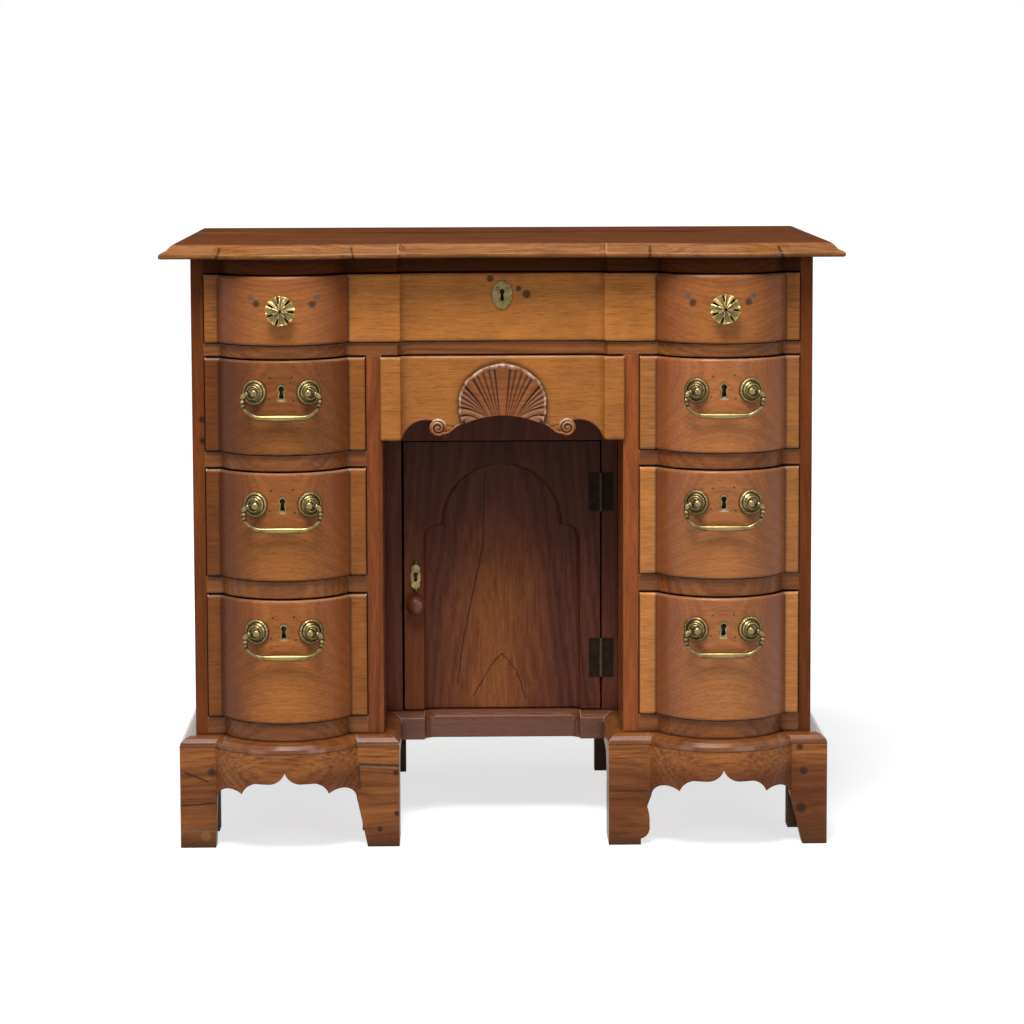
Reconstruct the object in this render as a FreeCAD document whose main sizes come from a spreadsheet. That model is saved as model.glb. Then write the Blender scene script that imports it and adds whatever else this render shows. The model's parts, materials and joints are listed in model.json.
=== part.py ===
# A block-front kneehole bureau table: a case of boards on bracket feet, eight drawers,
# a cupboard door in the kneehole, brass pulls that swing and locks whose bolts slide.
# Modelled about the front of the case: X to the right, Y to the back, Z up from the floor.

import FreeCAD
import Part
import math
import os
import re

doc = FreeCAD.newDocument("bureau_table")
sheet = doc.addObject("Spreadsheet::Sheet", "Sizes")

# Driving sizes, in millimetres unless their meaning says otherwise
SIZES = {
    # Case
    "case_width": 787,  # case across its outer sides
    "case_depth": 424,  # case from its front edges to the back of the backboards
    "side_thickness": 15.5,  # outer side boards
    "knee_side_thickness": 19.8,  # side boards of the kneehole
    "kneehole_width": 306.4,  # clear width of the kneehole
    "kneehole_depth": 139.5,  # from the front of the case back to the cupboard frame
    "back_thickness": 12,  # backboards
    "rail_depth": 70,  # rails and dividers, from the front of the case backwards
    # Heights of the front, from the floor upwards
    "base_height": 130.5,  # bracket feet and skirts
    "base_mould_height": 12.5,  # moulded base frame that the case stands on
    "bottom_thickness": 22.5,  # bottom boards of the pedestals
    "lower_opening": 160,  # lower drawer opening
    "lower_rail": 21.5,  # divider over the lower drawers
    "middle_opening": 140,  # middle drawer opening
    "middle_rail": 19.5,  # divider over the middle drawers
    "upper_opening": 122,  # upper drawer opening
    "long_divider": 16,  # divider under the long drawer
    "long_opening": 89.5,  # long drawer opening
    "top_rail_height": 19.5,  # rail under the top board
    "top_thickness": 18,  # top board
    # Blocking of the front
    "block_chord": 159.5,  # width of a raised block where it leaves the front of the case
    "block_bow": 48,  # how far a block stands out at its middle
    "block_shift": 1.5,  # block centre outwards of the middle of its opening
    "recess_half": 114.4,  # half of the flat of the sunk middle bay
    "recess_depth": 14,  # how far the middle bay is sunk
    "recess_cove": 20,  # radius of the hollow at each end of the middle bay
    # Top board
    "top_side_overhang": 36.5,  # lip beside the case
    "top_front_overhang": 43.4,  # lip in front of the case
    "top_back_overhang": 6,  # top board behind the case
    "top_mould_width": 20,  # moulded edge of the top board
    "top_nose": 7,  # height of the round nose under the moulded edge
    "top_lip_bow": 21,  # how far the lip swells over a block
    "top_arris_bow": 15,  # how far the inner edge of the moulding swells over a block
    "top_lip_spread": 9,  # how far a swell widens from the inner edge to the lip
    "top_recess": 8,  # how far the lip draws back over the middle bay
    "top_recess_run": 16,  # length of the hollow at each end of that bay
    # Base frame and feet
    "mould_project": 20,  # base moulding in front of the case at its lower arris
    "mould_top_project": 3,  # base moulding in front of the case at its top
    "skirt_inset": 0.5,  # face of the skirts behind the lower arris
    "base_frame_width": 40,  # base frame inwards of the faces of the case
    "mitre_gap": 0.05,  # glue line in the mitres of the base frame
    "bracket_thickness": 22,  # boards of the bracket feet
    "foot_inner": 89,  # half of the space between the front feet of a pedestal
    "foot_top": 64,  # height at which a foot turns into the skirt
    "scallop_width": 17,  # each small curve of the skirt edge, along the skirt
    "scallop_crown": 18,  # end of the first curve above the foot
    "scallop_dip": 13,  # end of the second curve above the foot
    "scallop_flat": 28,  # flat of the skirt edge above the foot
    "scallop_point": 42.5,  # point in the middle of the skirt edge above the foot
    "scallop_notch": 20,  # half of the notch that leads up to that point
    "outer_left_taper": 2,  # how far the outer left foot narrows downwards
    "inner_left_taper": 14,  # how far the inner left foot narrows downwards
    "inner_right_taper": 5,  # how far the inner right foot narrows above its belly
    "inner_right_belly": 2,  # how far its belly stays behind its upper end
    "inner_right_toe": 13,  # how far its toe stays behind its upper end
    "belly_height": 25,  # belly of the inner right foot above the floor
    "toe_height": 8,  # toe of the inner right foot
    "outer_right_taper": 16,  # how far the outer right foot narrows downwards
    "side_foot_width": 62,  # feet along the sides and the back
    "side_arch_height": 92,  # arches along the sides and the back
    "arch_ease": 20,  # curve from a side foot into its arch
    "strip_drop": 22.5,  # strip below the cupboard door, down from the base moulding
    "strip_recess": 15,  # how far that strip is hollowed
    "strip_recess_half": 88,  # half of the flat of its hollow
    "glue_block": 26,  # width of the blocks behind the feet
    # Drawers
    "front_proud": 5,  # drawer fronts in front of the case
    "edge_round": 3,  # rounded edges of the drawer fronts
    "front_side_gap": 1,  # drawer front to the side of its opening
    "front_top_gap": 2,  # drawer front to the top of its opening
    "front_bottom_gap": 1.2,  # drawer front to the bottom of its opening
    "front_back": 14,  # back of a pedestal drawer front behind the front of the case
    "wide_front_back": 26,  # the same for the two drawers with a sunk middle
    "block_wall": 20,  # wood left in front of the hollow behind a block
    "drawer_side": 10,  # sides and back of the drawer boxes
    "drawer_bottom": 8,  # bottoms of the drawer boxes
    "bottom_rise": 5,  # drawer bottom above the lower edge of its sides
    "box_top_gap": 12,  # drawer sides below the top of the opening
    "drawer_end_gap": 12,  # drawer box in front of the backboards
    "running_gap": 0.3,  # clearance of what slides
    "runner_width": 20,  # drawer runners
    "runner_thickness": 14,  # height of the drawer runners
    "shell_runner_gap": 4,  # runners of the shell drawer behind its front
    # Shell drawer
    "shell_front_height": 106.5,  # shell drawer front at its ends
    "shell_top_gap": 2,  # shell drawer front below the divider
    "shell_lip": 3,  # lip of the shell drawer front over the kneehole sides
    "shell_box_gap": 5.2,  # sides of the shell drawer box below the divider
    "arch_half": 128.7,  # half of the shaped lower edge of the shell drawer
    "volute_place": 82.3,  # scrolls from the middle of the shell drawer
    "volute_height": 15,  # centre of the scrolls above the lower edge
    "volute_radius": 10.6,  # scrolls
    "volute_proud": 2,  # scrolls in front of the sunk bay
    "arch_peak": 31,  # middle of the shaped edge above the lower edge
    "cusp_place": 48.8,  # points of the shaped edge from the middle
    "cusp_height": 20.5,  # points of the shaped edge above the lower edge
    "shell_half_width": 51,  # half of the carved shell
    "shell_height": 63,  # carved shell above the middle of the shaped edge
    "shell_relief": 4,  # carved shell in front of the sunk bay
    "shell_lobes": 9,  # scallops round the carved shell, a count
    # Cupboard
    "frame_thickness": 20,  # cupboard frame and door
    "stile_width": 21,  # stiles of the cupboard frame
    "frame_rail": 38,  # rail over the door
    "door_top": 503,  # lower edge of that rail above the floor
    "door_gap": 1.2,  # door to its frame at the top and bottom
    "door_hinge_gap": 2.2,  # door to its frame at the hinges
    "door_lock_gap": 3,  # door to its frame at the lock
    "panel_half": 103.5,  # half of the sunk panel of the door
    "panel_arch": 80,  # radius of the arch of the panel
    "panel_spring": 393.5,  # centre of the arch above the floor
    "panel_ear": 21,  # radius of the round ears beside the arch
    "panel_sink": 12,  # how far the panel is sunk
    "panel_cove": 7,  # width of the hollow round the panel
    "board_thickness": 10,  # floor, shelf and top of the cupboard
    "shelf_height": 330,  # underside of the shelf above the floor
    "shelf_setback": 20,  # shelf behind the door
    # Hinges
    "leaf_length": 51,  # hinge leaves
    "leaf_width": 16,  # hinge leaves across
    "leaf_thickness": 1.2,  # hinge leaves
    "knuckle_radius": 2.2,  # hinge knuckles
    "pin_radius": 1.2,  # hinge pins
    "pin_clearance": 0.05,  # radial clearance of pins in their holes
    "hinge_out": 2.5,  # hinge axis in front of the door
    "lower_hinge": 213.5,  # middle of the lower hinge above the floor
    "upper_hinge": 434.5,  # middle of the upper hinge above the floor
    # Pulls
    "post_half": 33.8,  # posts of a pull from the middle of the block
    "handle_drop": 39.5,  # posts below the upper edge of the drawer front
    "post_reach": 15,  # swinging axis of a pull out from the block
    "post_neck": 3.2,  # radius of the necks of the posts
    "post_head": 4.4,  # radius of the heads of the posts
    "post_shank": 2,  # radius of the shanks through the wood
    "nut_radius": 5,  # nuts inside the drawers
    "nut_thickness": 3,  # nuts inside the drawers
    "rosette_radius": 15.5,  # round plates behind the posts
    "rosette_depth": 8,  # round plates, out from the wood
    "bail_pin": 1.6,  # radius of the pins that a bail swings on
    "bail_half": 47.2,  # half of a bail between the middles of its arms
    "bail_drop": 30,  # middle of the bail below its axis
    "bail_bend": 18,  # radius of the bends of a bail
    "bail_arm": 2.4,  # radius of the arms of a bail
    "bail_swell": 3.4,  # radius of the middle of the grip
    "bail_knuckle": 2.9,  # radius of the knobs at the ends of a bail
    # Knobs, escutcheons and locks
    "rosette_knob_radius": 19,  # flower knobs of the long drawer
    "rosette_knob_depth": 21,  # flower knobs, out from the wood
    "rosette_knob_neck": 6,  # radius of their necks
    "rosette_knob_height": 690,  # flower knobs above the floor
    "door_knob_radius": 12.5,  # turned knob of the door
    "door_knob_depth": 21,  # turned knob, out from the door
    "door_knob_neck": 5.5,  # radius of its neck
    "door_knob_place": 114,  # knob left of the middle of the door
    "door_knob_height": 285.6,  # knob above the floor
    "shank_length": 8,  # shanks of the knobs in the wood
    "door_key_height": 322.5,  # keyhole of the door above the floor
    "door_plate_width": 13,  # escutcheon of the door
    "door_plate_height": 32,  # escutcheon of the door
    "long_key_height": 704,  # keyhole of the long drawer above the floor
    "oval_width": 26,  # escutcheon of the long drawer
    "oval_height": 36,  # escutcheon of the long drawer
    "plate_thickness": 1.8,  # escutcheons
    "liner_width": 10,  # keyhole liners of the pedestal drawers
    "liner_height": 20,  # keyhole liners of the pedestal drawers
    "liner_hole_width": 6.4,  # keyholes of the pedestal drawers
    "liner_hole_height": 16,  # keyholes of the pedestal drawers
    "key_width": 4.6,  # keyholes of the long drawer and the door
    "key_height": 12,  # keyholes of the long drawer and the door
    "lock_width": 48,  # lock cases
    "lock_depth": 9,  # lock cases, front to back
    "lock_below_key": 12.5,  # lock case below its keyhole
    "lock_cover": 13,  # wood in front of a lock case
    "door_lock_past_key": 8,  # lock case of the door past its keyhole
    "lock_back_cover": 10,  # wood in front of the long drawer's lock case
    "bolt_width": 18,  # lock bolts
    "bolt_depth": 5,  # lock bolts, front to back
    "bolt_length": 20,  # lock bolts along their travel
    "bolt_travel": 8,  # travel of the bolts
    "mortise_slack": 1,  # room round a bolt in its mortise
    "cut_past": 1,  # how far a cut runs past a face
}

# What follows from those sizes
DERIVED = {
    "case_half": "case_width / 2",  # outer face of the case
    "top_width": "case_width + 2 * top_side_overhang",  # top board over its moulded lip
    "knee_half": "kneehole_width / 2",  # inner face of the kneehole sides
    "opening_in": "knee_half + knee_side_thickness",  # inner side of the pedestal openings
    "opening_out": "case_half - side_thickness",  # outer side of the pedestal openings
    "block_centre": "(opening_in + opening_out) / 2 + block_shift",  # middle of a block
    "block_radius": "(block_bow ^ 2 + block_chord ^ 2 / 4) / (2 * block_bow)",  # round of a block
    "block_axis": "block_radius - block_bow",  # centre of that round behind the front
    "case_bottom": "base_height + base_mould_height",  # underside of the case
    "strip_bottom": "base_height - strip_drop",  # underside of the strip below the cupboard door
    "lower_level": "case_bottom + bottom_thickness",  # floor of the lower opening
    "lower_divider": "lower_level + lower_opening",  # underside of the lower divider
    "middle_level": "lower_divider + lower_rail",  # floor of the middle opening
    "middle_divider": "middle_level + middle_opening",  # underside of the middle divider
    "upper_level": "middle_divider + middle_rail",  # floor of the upper opening
    "long_bottom": "upper_level + upper_opening",  # underside of the long divider
    "long_level": "long_bottom + long_divider",  # floor of the long opening
    "top_rail_bottom": "long_level + long_opening",  # underside of the top rail
    "case_top": "top_rail_bottom + top_rail_height",  # underside of the top board
    "overall_height": "case_top + top_thickness",  # upper face of the top board
    "back_face": "case_depth - back_thickness",  # front of the backboards
    "drawer_end": "back_face - drawer_end_gap",  # back of the drawer boxes
    "top_back": "case_depth + top_back_overhang",  # back edge of the top board
    "skirt_project": "mould_project - skirt_inset",  # face of the skirts in front of the case
    "skirt_back": "bracket_thickness - skirt_project",  # back of the skirts behind the front
    "shell_top": "long_bottom - shell_top_gap",  # upper edge of the shell drawer front
    "shell_bottom": "shell_top - shell_front_height",  # lower edge of the shell drawer front
    "frame_back": "kneehole_depth + frame_thickness",  # back of the cupboard frame
    "frame_half": "knee_half - stile_width",  # half of the door opening
    "cupboard_top": "door_top + frame_rail",  # upper face of the cupboard
    "shell_runner_top": "cupboard_top + runner_thickness",  # floor of the shell drawer box
    "hinge_place": "frame_half - door_hinge_gap / 2",  # hinge axis right of the middle
    "hinge_axis": "kneehole_depth - hinge_out",  # hinge axis behind the front
    "door_right": "frame_half - door_hinge_gap",  # edge of the door at the hinges
    "door_left": "frame_half - door_lock_gap",  # edge of the door at the lock
    "door_low": "case_bottom + door_gap",  # lower edge of the door
    "door_high": "door_top - door_gap",  # upper edge of the door
    "face_radius": "block_radius + front_proud",  # round face of a drawer front
    "post_surface": "block_axis - sqrt(face_radius ^ 2 - post_half ^ 2)",  # wood at a post
    "nut_wall": "sqrt((face_radius - block_wall) ^ 2 - (post_half + nut_radius) ^ 2)",  # wood at a nut
    "nut_seat": "block_axis - nut_wall + running_gap - post_surface",  # nut behind the wood at its post
    "pull_axis": "post_surface - post_reach",  # swinging axis of the pulls
    "knob_reach": "block_bow + front_proud + rosette_knob_depth",  # flower knobs in front of the case
    "front_reach": "max(post_head - pull_axis; knob_reach)",  # foremost point in front of the case
    "front_plane": "(front_reach - top_back) / 2",  # front of the case in the finished frame
}

size_names = [*SIZES, *DERIVED]
for row, name in enumerate(size_names, start=1):
    sheet.set(f"A{row}", name)
    sheet.set(f"B{row}", str(SIZES[name]) if name in SIZES else "=" + DERIVED[name])
    sheet.setAlias(f"B{row}", name)
doc.recompute()


def value(name):
    """The number that the sheet holds under a name."""
    return float(sheet.get(name))


PAST = value("cut_past")
QUARTER_ROUND = [math.radians(degrees) for degrees in (0, 25, 50, 72, 90)]


def bound(formula):
    """Point the size names in a formula at the sheet."""
    def pointed(word):
        return "Sizes." + word.group() if word.group() in size_names else word.group()
    return re.sub(r"[a-z][a-z0-9_]+", pointed, formula)


# Pieces made of primitives, each tied to the sheet

def board(name, x, y, z):
    """A squared board between a lower and an upper formula along each axis."""
    piece = doc.addObject("Part::Box", name)
    for length, axis, (low, high) in zip(("Length", "Width", "Height"), "xyz", (x, y, z)):
        piece.setExpression(length, bound(f"({high}) - ({low})"))
        piece.setExpression(f"Placement.Base.{axis}", bound(low))
    return piece


def round_post(name, radius, x, y, z):
    """An upright cylinder between two heights."""
    piece = doc.addObject("Part::Cylinder", name)
    low, high = z
    piece.setExpression("Radius", bound(radius))
    piece.setExpression("Height", bound(f"({high}) - ({low})"))
    for axis, place in zip("xyz", (x, y, low)):
        piece.setExpression(f"Placement.Base.{axis}", bound(place))
    return piece


def joined(name, pieces):
    """Several primitives as one piece."""
    piece = doc.addObject("Part::MultiFuse", name)
    piece.Shapes = pieces
    return piece


def shared(name, first, second):
    """What two primitives have in common."""
    piece = doc.addObject("Part::MultiCommon", name)
    piece.Shapes = [first, second]
    return piece


def cut(name, base, tools):
    """A piece with others taken out of it."""
    piece = doc.addObject("Part::Cut", name)
    piece.Base = base
    piece.Tool = tools[0] if len(tools) == 1 else joined(name + "_tools", tools)
    return piece


def formed(name, shape):
    """A piece whose form needs more than primitives."""
    piece = doc.addObject("Part::Feature", name)
    piece.Shape = shape
    return piece


def across(low, high, side):
    """A span along X on the right (1), or its mirror image on the left (-1)."""
    return (low, high) if side > 0 else (f"-({high})", f"-({low})")


SIDES = {"left": -1, "right": 1}
nodes = []


def node(label, pieces):
    """Gather the pieces of one sub-part and move them into the finished frame."""
    group = doc.addObject("Part::Compound", label)
    group.Label = label
    group.Links = pieces
    group.setExpression("Placement.Base.y", "Sizes.front_plane")
    nodes.append(group)


# Outlines of lines and arcs: a point is (x, y), or (x, y, x, y) for an arc through the last two

def wire(path, lift):
    """A closed wire through a path, each flat point lifted into space."""
    edges = []
    for before, after in zip([path[-1]] + path[:-1], path):
        start = lift(*before[:2])
        end = lift(*after[:2])
        if len(after) == 4:
            edges.append(Part.Arc(start, lift(*after[2:]), end).toShape())
        else:
            edges.append(Part.LineSegment(start, end).toShape())
    return Part.Wire(edges)


def level(height):
    """Lift plan points to a height."""
    return lambda x, y: FreeCAD.Vector(x, y, height)


def upright(depth):
    """Stand elevation points up at a depth."""
    return lambda x, z: FreeCAD.Vector(x, depth, z)


def sideways(place):
    """Stand side-view points up at a place along X."""
    return lambda y, z: FreeCAD.Vector(place, y, z)


def prism(path, lift, along):
    """A solid with one outline all the way."""
    return Part.Face(wire(path, lift)).extrude(FreeCAD.Vector(*along))


def stacked(sections):
    """A solid with straight sides through a row of outlines."""
    return Part.makeLoft([wire(path, lift) for path, lift in sections], True, True)


def mirrored(path):
    """The mirror image of a path, left for right."""
    return [tuple(-number if index % 2 == 0 else number for index, number in enumerate(point))
            for point in path]


def shifted(point, centre):
    """A path point moved along X."""
    return tuple(number + centre if index % 2 == 0 else number for index, number in enumerate(point))


def reversed_path(path):
    """The same open path from its other end."""
    turned_path = [path[-1][:2]]
    for after, before in zip(path[::-1], path[-2::-1]):
        turned_path.append(before[:2] + after[2:])
    return turned_path


def curved(start, end, swell):
    """An arc to an end, its middle standing off the chord by a share of the chord's length."""
    run = end[0] - start[0]
    rise = end[1] - start[1]
    return (*end, (start[0] + end[0]) / 2 + swell * rise, (start[1] + end[1]) / 2 - swell * run)


def block_points(centre, offset):
    """A raised block of the front, swollen by an offset."""
    radius = value("block_radius") + offset
    half = math.sqrt(radius ** 2 - (value("block_axis") + offset) ** 2)
    apex = -(value("block_bow") + offset)
    return [(centre - half, -offset), (centre + half, -offset, centre, apex)]


def bay_points(offset):
    """The sunk middle bay of the front, swollen by an offset, between its two arrises."""
    half = value("recess_half")
    cove = value("recess_cove") - offset
    floor = value("recess_depth") - offset
    hub = value("recess_depth") - value("recess_cove")
    rise = -offset - hub
    run = math.sqrt(cove ** 2 - rise ** 2)
    turn = (math.atan2(rise, run) + math.pi / 2) / 2
    middle_x = half + cove * math.cos(turn)
    middle_y = hub + cove * math.sin(turn)
    return [(-half - run, -offset), (-half, floor, -middle_x, middle_y),
            (half, floor), (half + run, -offset, middle_x, middle_y)]


def keyhole(centre, width, height, depth, length):
    """A keyhole-shaped prism that runs back from a depth."""
    x, z = centre
    neck = 0.32 * width
    waist = z + 0.1 * height
    path = [(x - width / 2, z - height / 2), (x - neck, waist),
            (x + neck, waist, x, z + height / 2), (x + width / 2, z - height / 2)]
    return prism(path, upright(depth), (0, length, 0))


def turned(profile):
    """A solid of revolution about the Y axis from (distance out, radius) points, out along -Y."""
    corners = [FreeCAD.Vector(radius, -out, 0) for out, radius in profile]
    face = Part.Face(Part.makePolygon(corners + corners[:1]))
    return face.revolve(FreeCAD.Vector(0, 0, 0), FreeCAD.Vector(0, 1, 0), 360)


def bore(radius, end):
    """A round hole about the Y axis for a shank, from just outside the wood in to an end."""
    clear = radius + value("pin_clearance")
    return turned([(PAST, 0), (PAST, clear), (end, clear), (end, 0)])


# Case boards

def case_side(side):
    x = across("opening_out", "case_half", side)
    return board("side_board", x, ("0", "case_depth"), ("case_bottom", "case_top"))


def kneehole_side(side):
    x = across("knee_half", "opening_in", side)
    return board("kneehole_board", x, ("0", "back_face"), ("case_bottom", "long_bottom"))


def back_boards():
    """Three boards one above the other."""
    count = 3
    boards = []
    for row in range(count):
        rise = f"(case_top - case_bottom) / {count}"
        z = (f"case_bottom + {rise} * {row}", f"case_bottom + {rise} * {row + 1}")
        boards.append(board("back_board", ("-opening_out", "opening_out"), ("back_face", "case_depth"), z))
    return boards


def block_front(side, z):
    """The swell of a rail or a board over one block."""
    centre = "block_centre" if side > 0 else "-block_centre"
    swell = round_post("swell", "block_radius", centre, "block_axis", z)
    x = (f"{centre} - block_chord", f"{centre} + block_chord")
    return shared("block", swell, board("front_half", x, ("-2 * block_bow", "0"), z))


def bay_cutter(z):
    """What is taken out of a rail for the sunk middle bay."""
    low, high = z
    tall = (f"{low} - cut_past", f"{high} + cut_past")
    pieces = [board("bay", ("-recess_half", "recess_half"), ("-recess_cove", "recess_depth"), tall)]
    for centre in ("-recess_half", "recess_half"):
        pieces.append(round_post("cove", "recess_cove", centre, "recess_depth - recess_cove", tall))
    return pieces


def bolt_mortise(centre, back, z):
    """A slot in the underside of a rail for a lock bolt, behind the front by a formula."""
    half = "(bolt_width / 2 + mortise_slack)"
    x = (f"{centre} - {half}", f"{centre} + {half}")
    y = (f"{back} - mortise_slack", f"{back} + bolt_depth + mortise_slack")
    return board("mortise", x, y, (f"{z} - cut_past", f"{z} + bolt_travel + mortise_slack"))


PEDESTAL_BOLT = "lock_cover - block_bow - front_proud + (lock_depth - bolt_depth) / 2"
LONG_BOLT = "recess_depth - front_proud + lock_back_cover + (lock_depth - bolt_depth) / 2"


def long_rail(name, z, mortises):
    """A rail across the whole case with two blocks and the sunk bay."""
    straight = board("rail", ("-opening_out", "opening_out"), ("0", "rail_depth"), z)
    swollen = joined("blocked_rail", [straight, block_front(-1, z), block_front(1, z)])
    return cut(name, swollen, bay_cutter(z) + mortises)


def short_rail(side, z):
    """A rail across one pedestal, with a mortise for the bolt of the drawer below."""
    x = across("opening_in", "opening_out", side)
    straight = board("rail", x, ("0", "rail_depth"), z)
    swollen = joined("blocked_rail", [straight, block_front(side, z)])
    centre = "block_centre" if side > 0 else "-block_centre"
    return cut("short_rail", swollen, [bolt_mortise(centre, PEDESTAL_BOLT, z[0])])


def bottom_board(side):
    z = ("case_bottom", "lower_level")
    x = across("opening_in", "opening_out", side)
    straight = board("bottom", x, ("0", "back_face"), z)
    return joined("bottom_board", [straight, block_front(side, z)])


def runner(x, y, top):
    return board("runner", x, y, (f"{top} - runner_thickness", top))


def drawer_runners():
    """Strips along the sides that carry the drawers behind the rails."""
    strips = []
    run = ("rail_depth", "back_face")
    for side in SIDES.values():
        outer = across("opening_out - runner_width", "opening_out", side)
        inner = across("opening_in", "opening_in + runner_width", side)
        for top in ("middle_level", "upper_level", "long_level"):
            strips.append(runner(outer, run, top))
        for top in ("middle_level", "upper_level"):
            strips.append(runner(inner, run, top))
        over_knee = across("knee_half", "opening_in", side)
        z = ("long_bottom", "long_level")
        strips.append(board("knee_runner", over_knee, run, z))
        beside = across("knee_half - runner_width / 2", "knee_half", side)
        under_shell = ("wide_front_back + shell_runner_gap", "drawer_end")
        strips.append(runner(beside, under_shell, "shell_runner_top"))
    return strips


def cupboard_frame():
    y = ("kneehole_depth", "frame_back")
    z = ("case_bottom", "cupboard_top")
    left = board("lock_stile", across("frame_half", "knee_half", -1), y, z)
    right = board("hinge_stile", across("frame_half", "knee_half", 1), y, z)
    rail = board("door_rail", ("-frame_half", "frame_half"), y, ("door_top", "cupboard_top"))
    middle = "kneehole_depth + frame_thickness / 2"
    half_deep = "(bolt_depth / 2 + mortise_slack)"
    half_high = "(bolt_width / 2 + mortise_slack)"
    slot = board("door_mortise", ("-frame_half - bolt_travel - mortise_slack", "cut_past - frame_half"),
                 (f"{middle} - {half_deep}", f"{middle} + {half_deep}"),
                 (f"door_key_height - {half_high}", f"door_key_height + {half_high}"))
    return [cut("slotted_stile", left, [slot]), right, rail]


def cupboard_boards():
    x = ("-knee_half", "knee_half")
    floor = board("cupboard_floor", x, ("kneehole_depth + base_frame_width", "back_face"),
                  ("case_bottom - board_thickness", "case_bottom"))
    shelf = board("shelf", x, ("frame_back + shelf_setback", "back_face"),
                  ("shelf_height", "shelf_height + board_thickness"))
    top = board("cupboard_ceiling", x, ("frame_back", "back_face"),
                ("cupboard_top - board_thickness", "cupboard_top"))
    return [floor, shelf, top]


# Top board

def top_sections():
    """Heights and insets of the moulded edge: a round nose, then a hollow that rolls into the top."""
    nose = value("top_nose")
    width = value("top_mould_width")
    rise = value("top_thickness") - nose
    nose_back = 0.12 * width
    rows = []
    for share in (0, 0.15, 0.5, 0.85, 1):
        lean = 2 * share - 1
        rows.append((nose * share, nose_back * (1 - math.sqrt(1 - lean ** 2))))
    steps = 6
    for step in range(1, steps + 1):
        share = step / steps
        swing = share - math.sin(2 * math.pi * share) / (2 * math.pi)
        rows.append((nose + rise * swing, nose_back + (width - nose_back) * share))
    return rows


def top_path(inset):
    """Outline of the top board at an inset from its lip."""
    share = inset / value("top_mould_width")
    bow = value("top_lip_bow") + (value("top_arris_bow") - value("top_lip_bow")) * share
    half = value("block_chord") / 2 + value("top_lip_spread") * (1 - share)
    edge = value("top_width") / 2 - inset
    front = inset - value("top_front_overhang")
    centre = value("block_centre")
    bay = value("recess_half")
    run = value("top_recess_run")
    sink = value("top_recess")
    hollow = -0.18
    start = (bay, front + sink)
    right = [start, curved(start, (bay + run, front), hollow), (centre - half, front),
             (centre + half, front, centre, front - bow), (edge, front), (edge, value("top_back"))]
    return reversed_path(mirrored(right)) + right


def top_board():
    under = value("case_top")
    sections = [(top_path(inset), level(under + rise)) for rise, inset in top_sections()]
    return formed("top", stacked(sections))


# Base frame and bracket feet

def mould_rows(bottom):
    """Heights and projections of the base moulding, a quarter round over its arris."""
    nose = value("mould_project")
    least = value("mould_top_project")
    high = value("base_mould_height")
    rows = []
    for turn in QUARTER_ROUND:
        rows.append((bottom + high * math.sin(turn), least + (nose - least) * math.cos(turn)))
    return rows


def front_band(project, inner):
    """Plan of the front of the right pedestal's base, mitred at both ends."""
    outer_x = value("case_half")
    inner_x = value("knee_half")
    return [(inner_x + inner, inner), (inner_x - project, -project),
            *block_points(value("block_centre"), project),
            (outer_x + project, -project), (outer_x - inner, inner)]


def outer_band(project, inner):
    """Plan of the base along the outer side of the right pedestal, mitred to the front."""
    outer_x = value("case_half")
    back = value("case_depth")
    glue = value("mitre_gap")
    return [(outer_x - inner, inner + glue), (outer_x + project, glue - project), (outer_x + project, back),
            (outer_x - inner, back)]


def inner_band(project, inner):
    """Plan of the base along the kneehole, mitred to the front and to the strip under the door."""
    inner_x = value("knee_half")
    glue = value("mitre_gap")
    knee = value("kneehole_depth") - glue
    return [(inner_x + inner, inner + glue), (inner_x - project, glue - project), (inner_x - project, knee - project),
            (inner_x, knee), (inner_x, value("back_face")), (inner_x + inner, value("back_face"))]


def strip_path(project):
    """Plan of the strip under the door, hollowed in the middle."""
    inner_x = value("knee_half") - value("mitre_gap")
    knee = value("kneehole_depth")
    front = knee - project
    back = knee + value("base_frame_width")
    half = value("strip_recess_half")
    sink = value("strip_recess")
    lag_x = half + sink * math.sin(math.pi / 4)
    lag_y = front + sink * math.cos(math.pi / 4)
    right = [(half, front + sink), (half + sink, front, lag_x, lag_y), (inner_x - project, front),
             (inner_x, knee), (inner_x, back)]
    return reversed_path(mirrored(right)) + right


def base_mouldings():
    rows = mould_rows(value("base_height"))
    inner = value("base_frame_width")
    pieces = []
    for band in (front_band, outer_band, inner_band):
        for turned_over in (False, True):
            sections = []
            for height, project in rows:
                path = band(project, inner)
                sections.append((mirrored(path) if turned_over else path, level(height)))
            pieces.append(formed("base_moulding", stacked(sections)))
    skirt = value("skirt_project")
    strip_rows = [(value("strip_bottom"), skirt), (value("base_height"), skirt)] + rows[1:]
    strip = stacked([(strip_path(project), level(height)) for height, project in strip_rows])
    pieces.append(formed("door_strip", strip))
    return pieces


def plain_foot(taper):
    """The inner edge of a foot that narrows evenly, from the floor up."""
    return [(value("foot_inner") + value(taper), -PAST)]


def ogee_foot():
    """The inner edge of the foot with a belly over its toe, from the floor up."""
    inner = value("foot_inner")
    toe = (inner + value("inner_right_toe"), value("toe_height"))
    belly = (inner + value("inner_right_belly"), value("belly_height"))
    waist = (inner + value("inner_right_taper"), 2 * value("belly_height"))
    return [(toe[0], -PAST), toe, curved(toe, belly, -0.2), curved(belly, waist, -0.05)]


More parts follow.
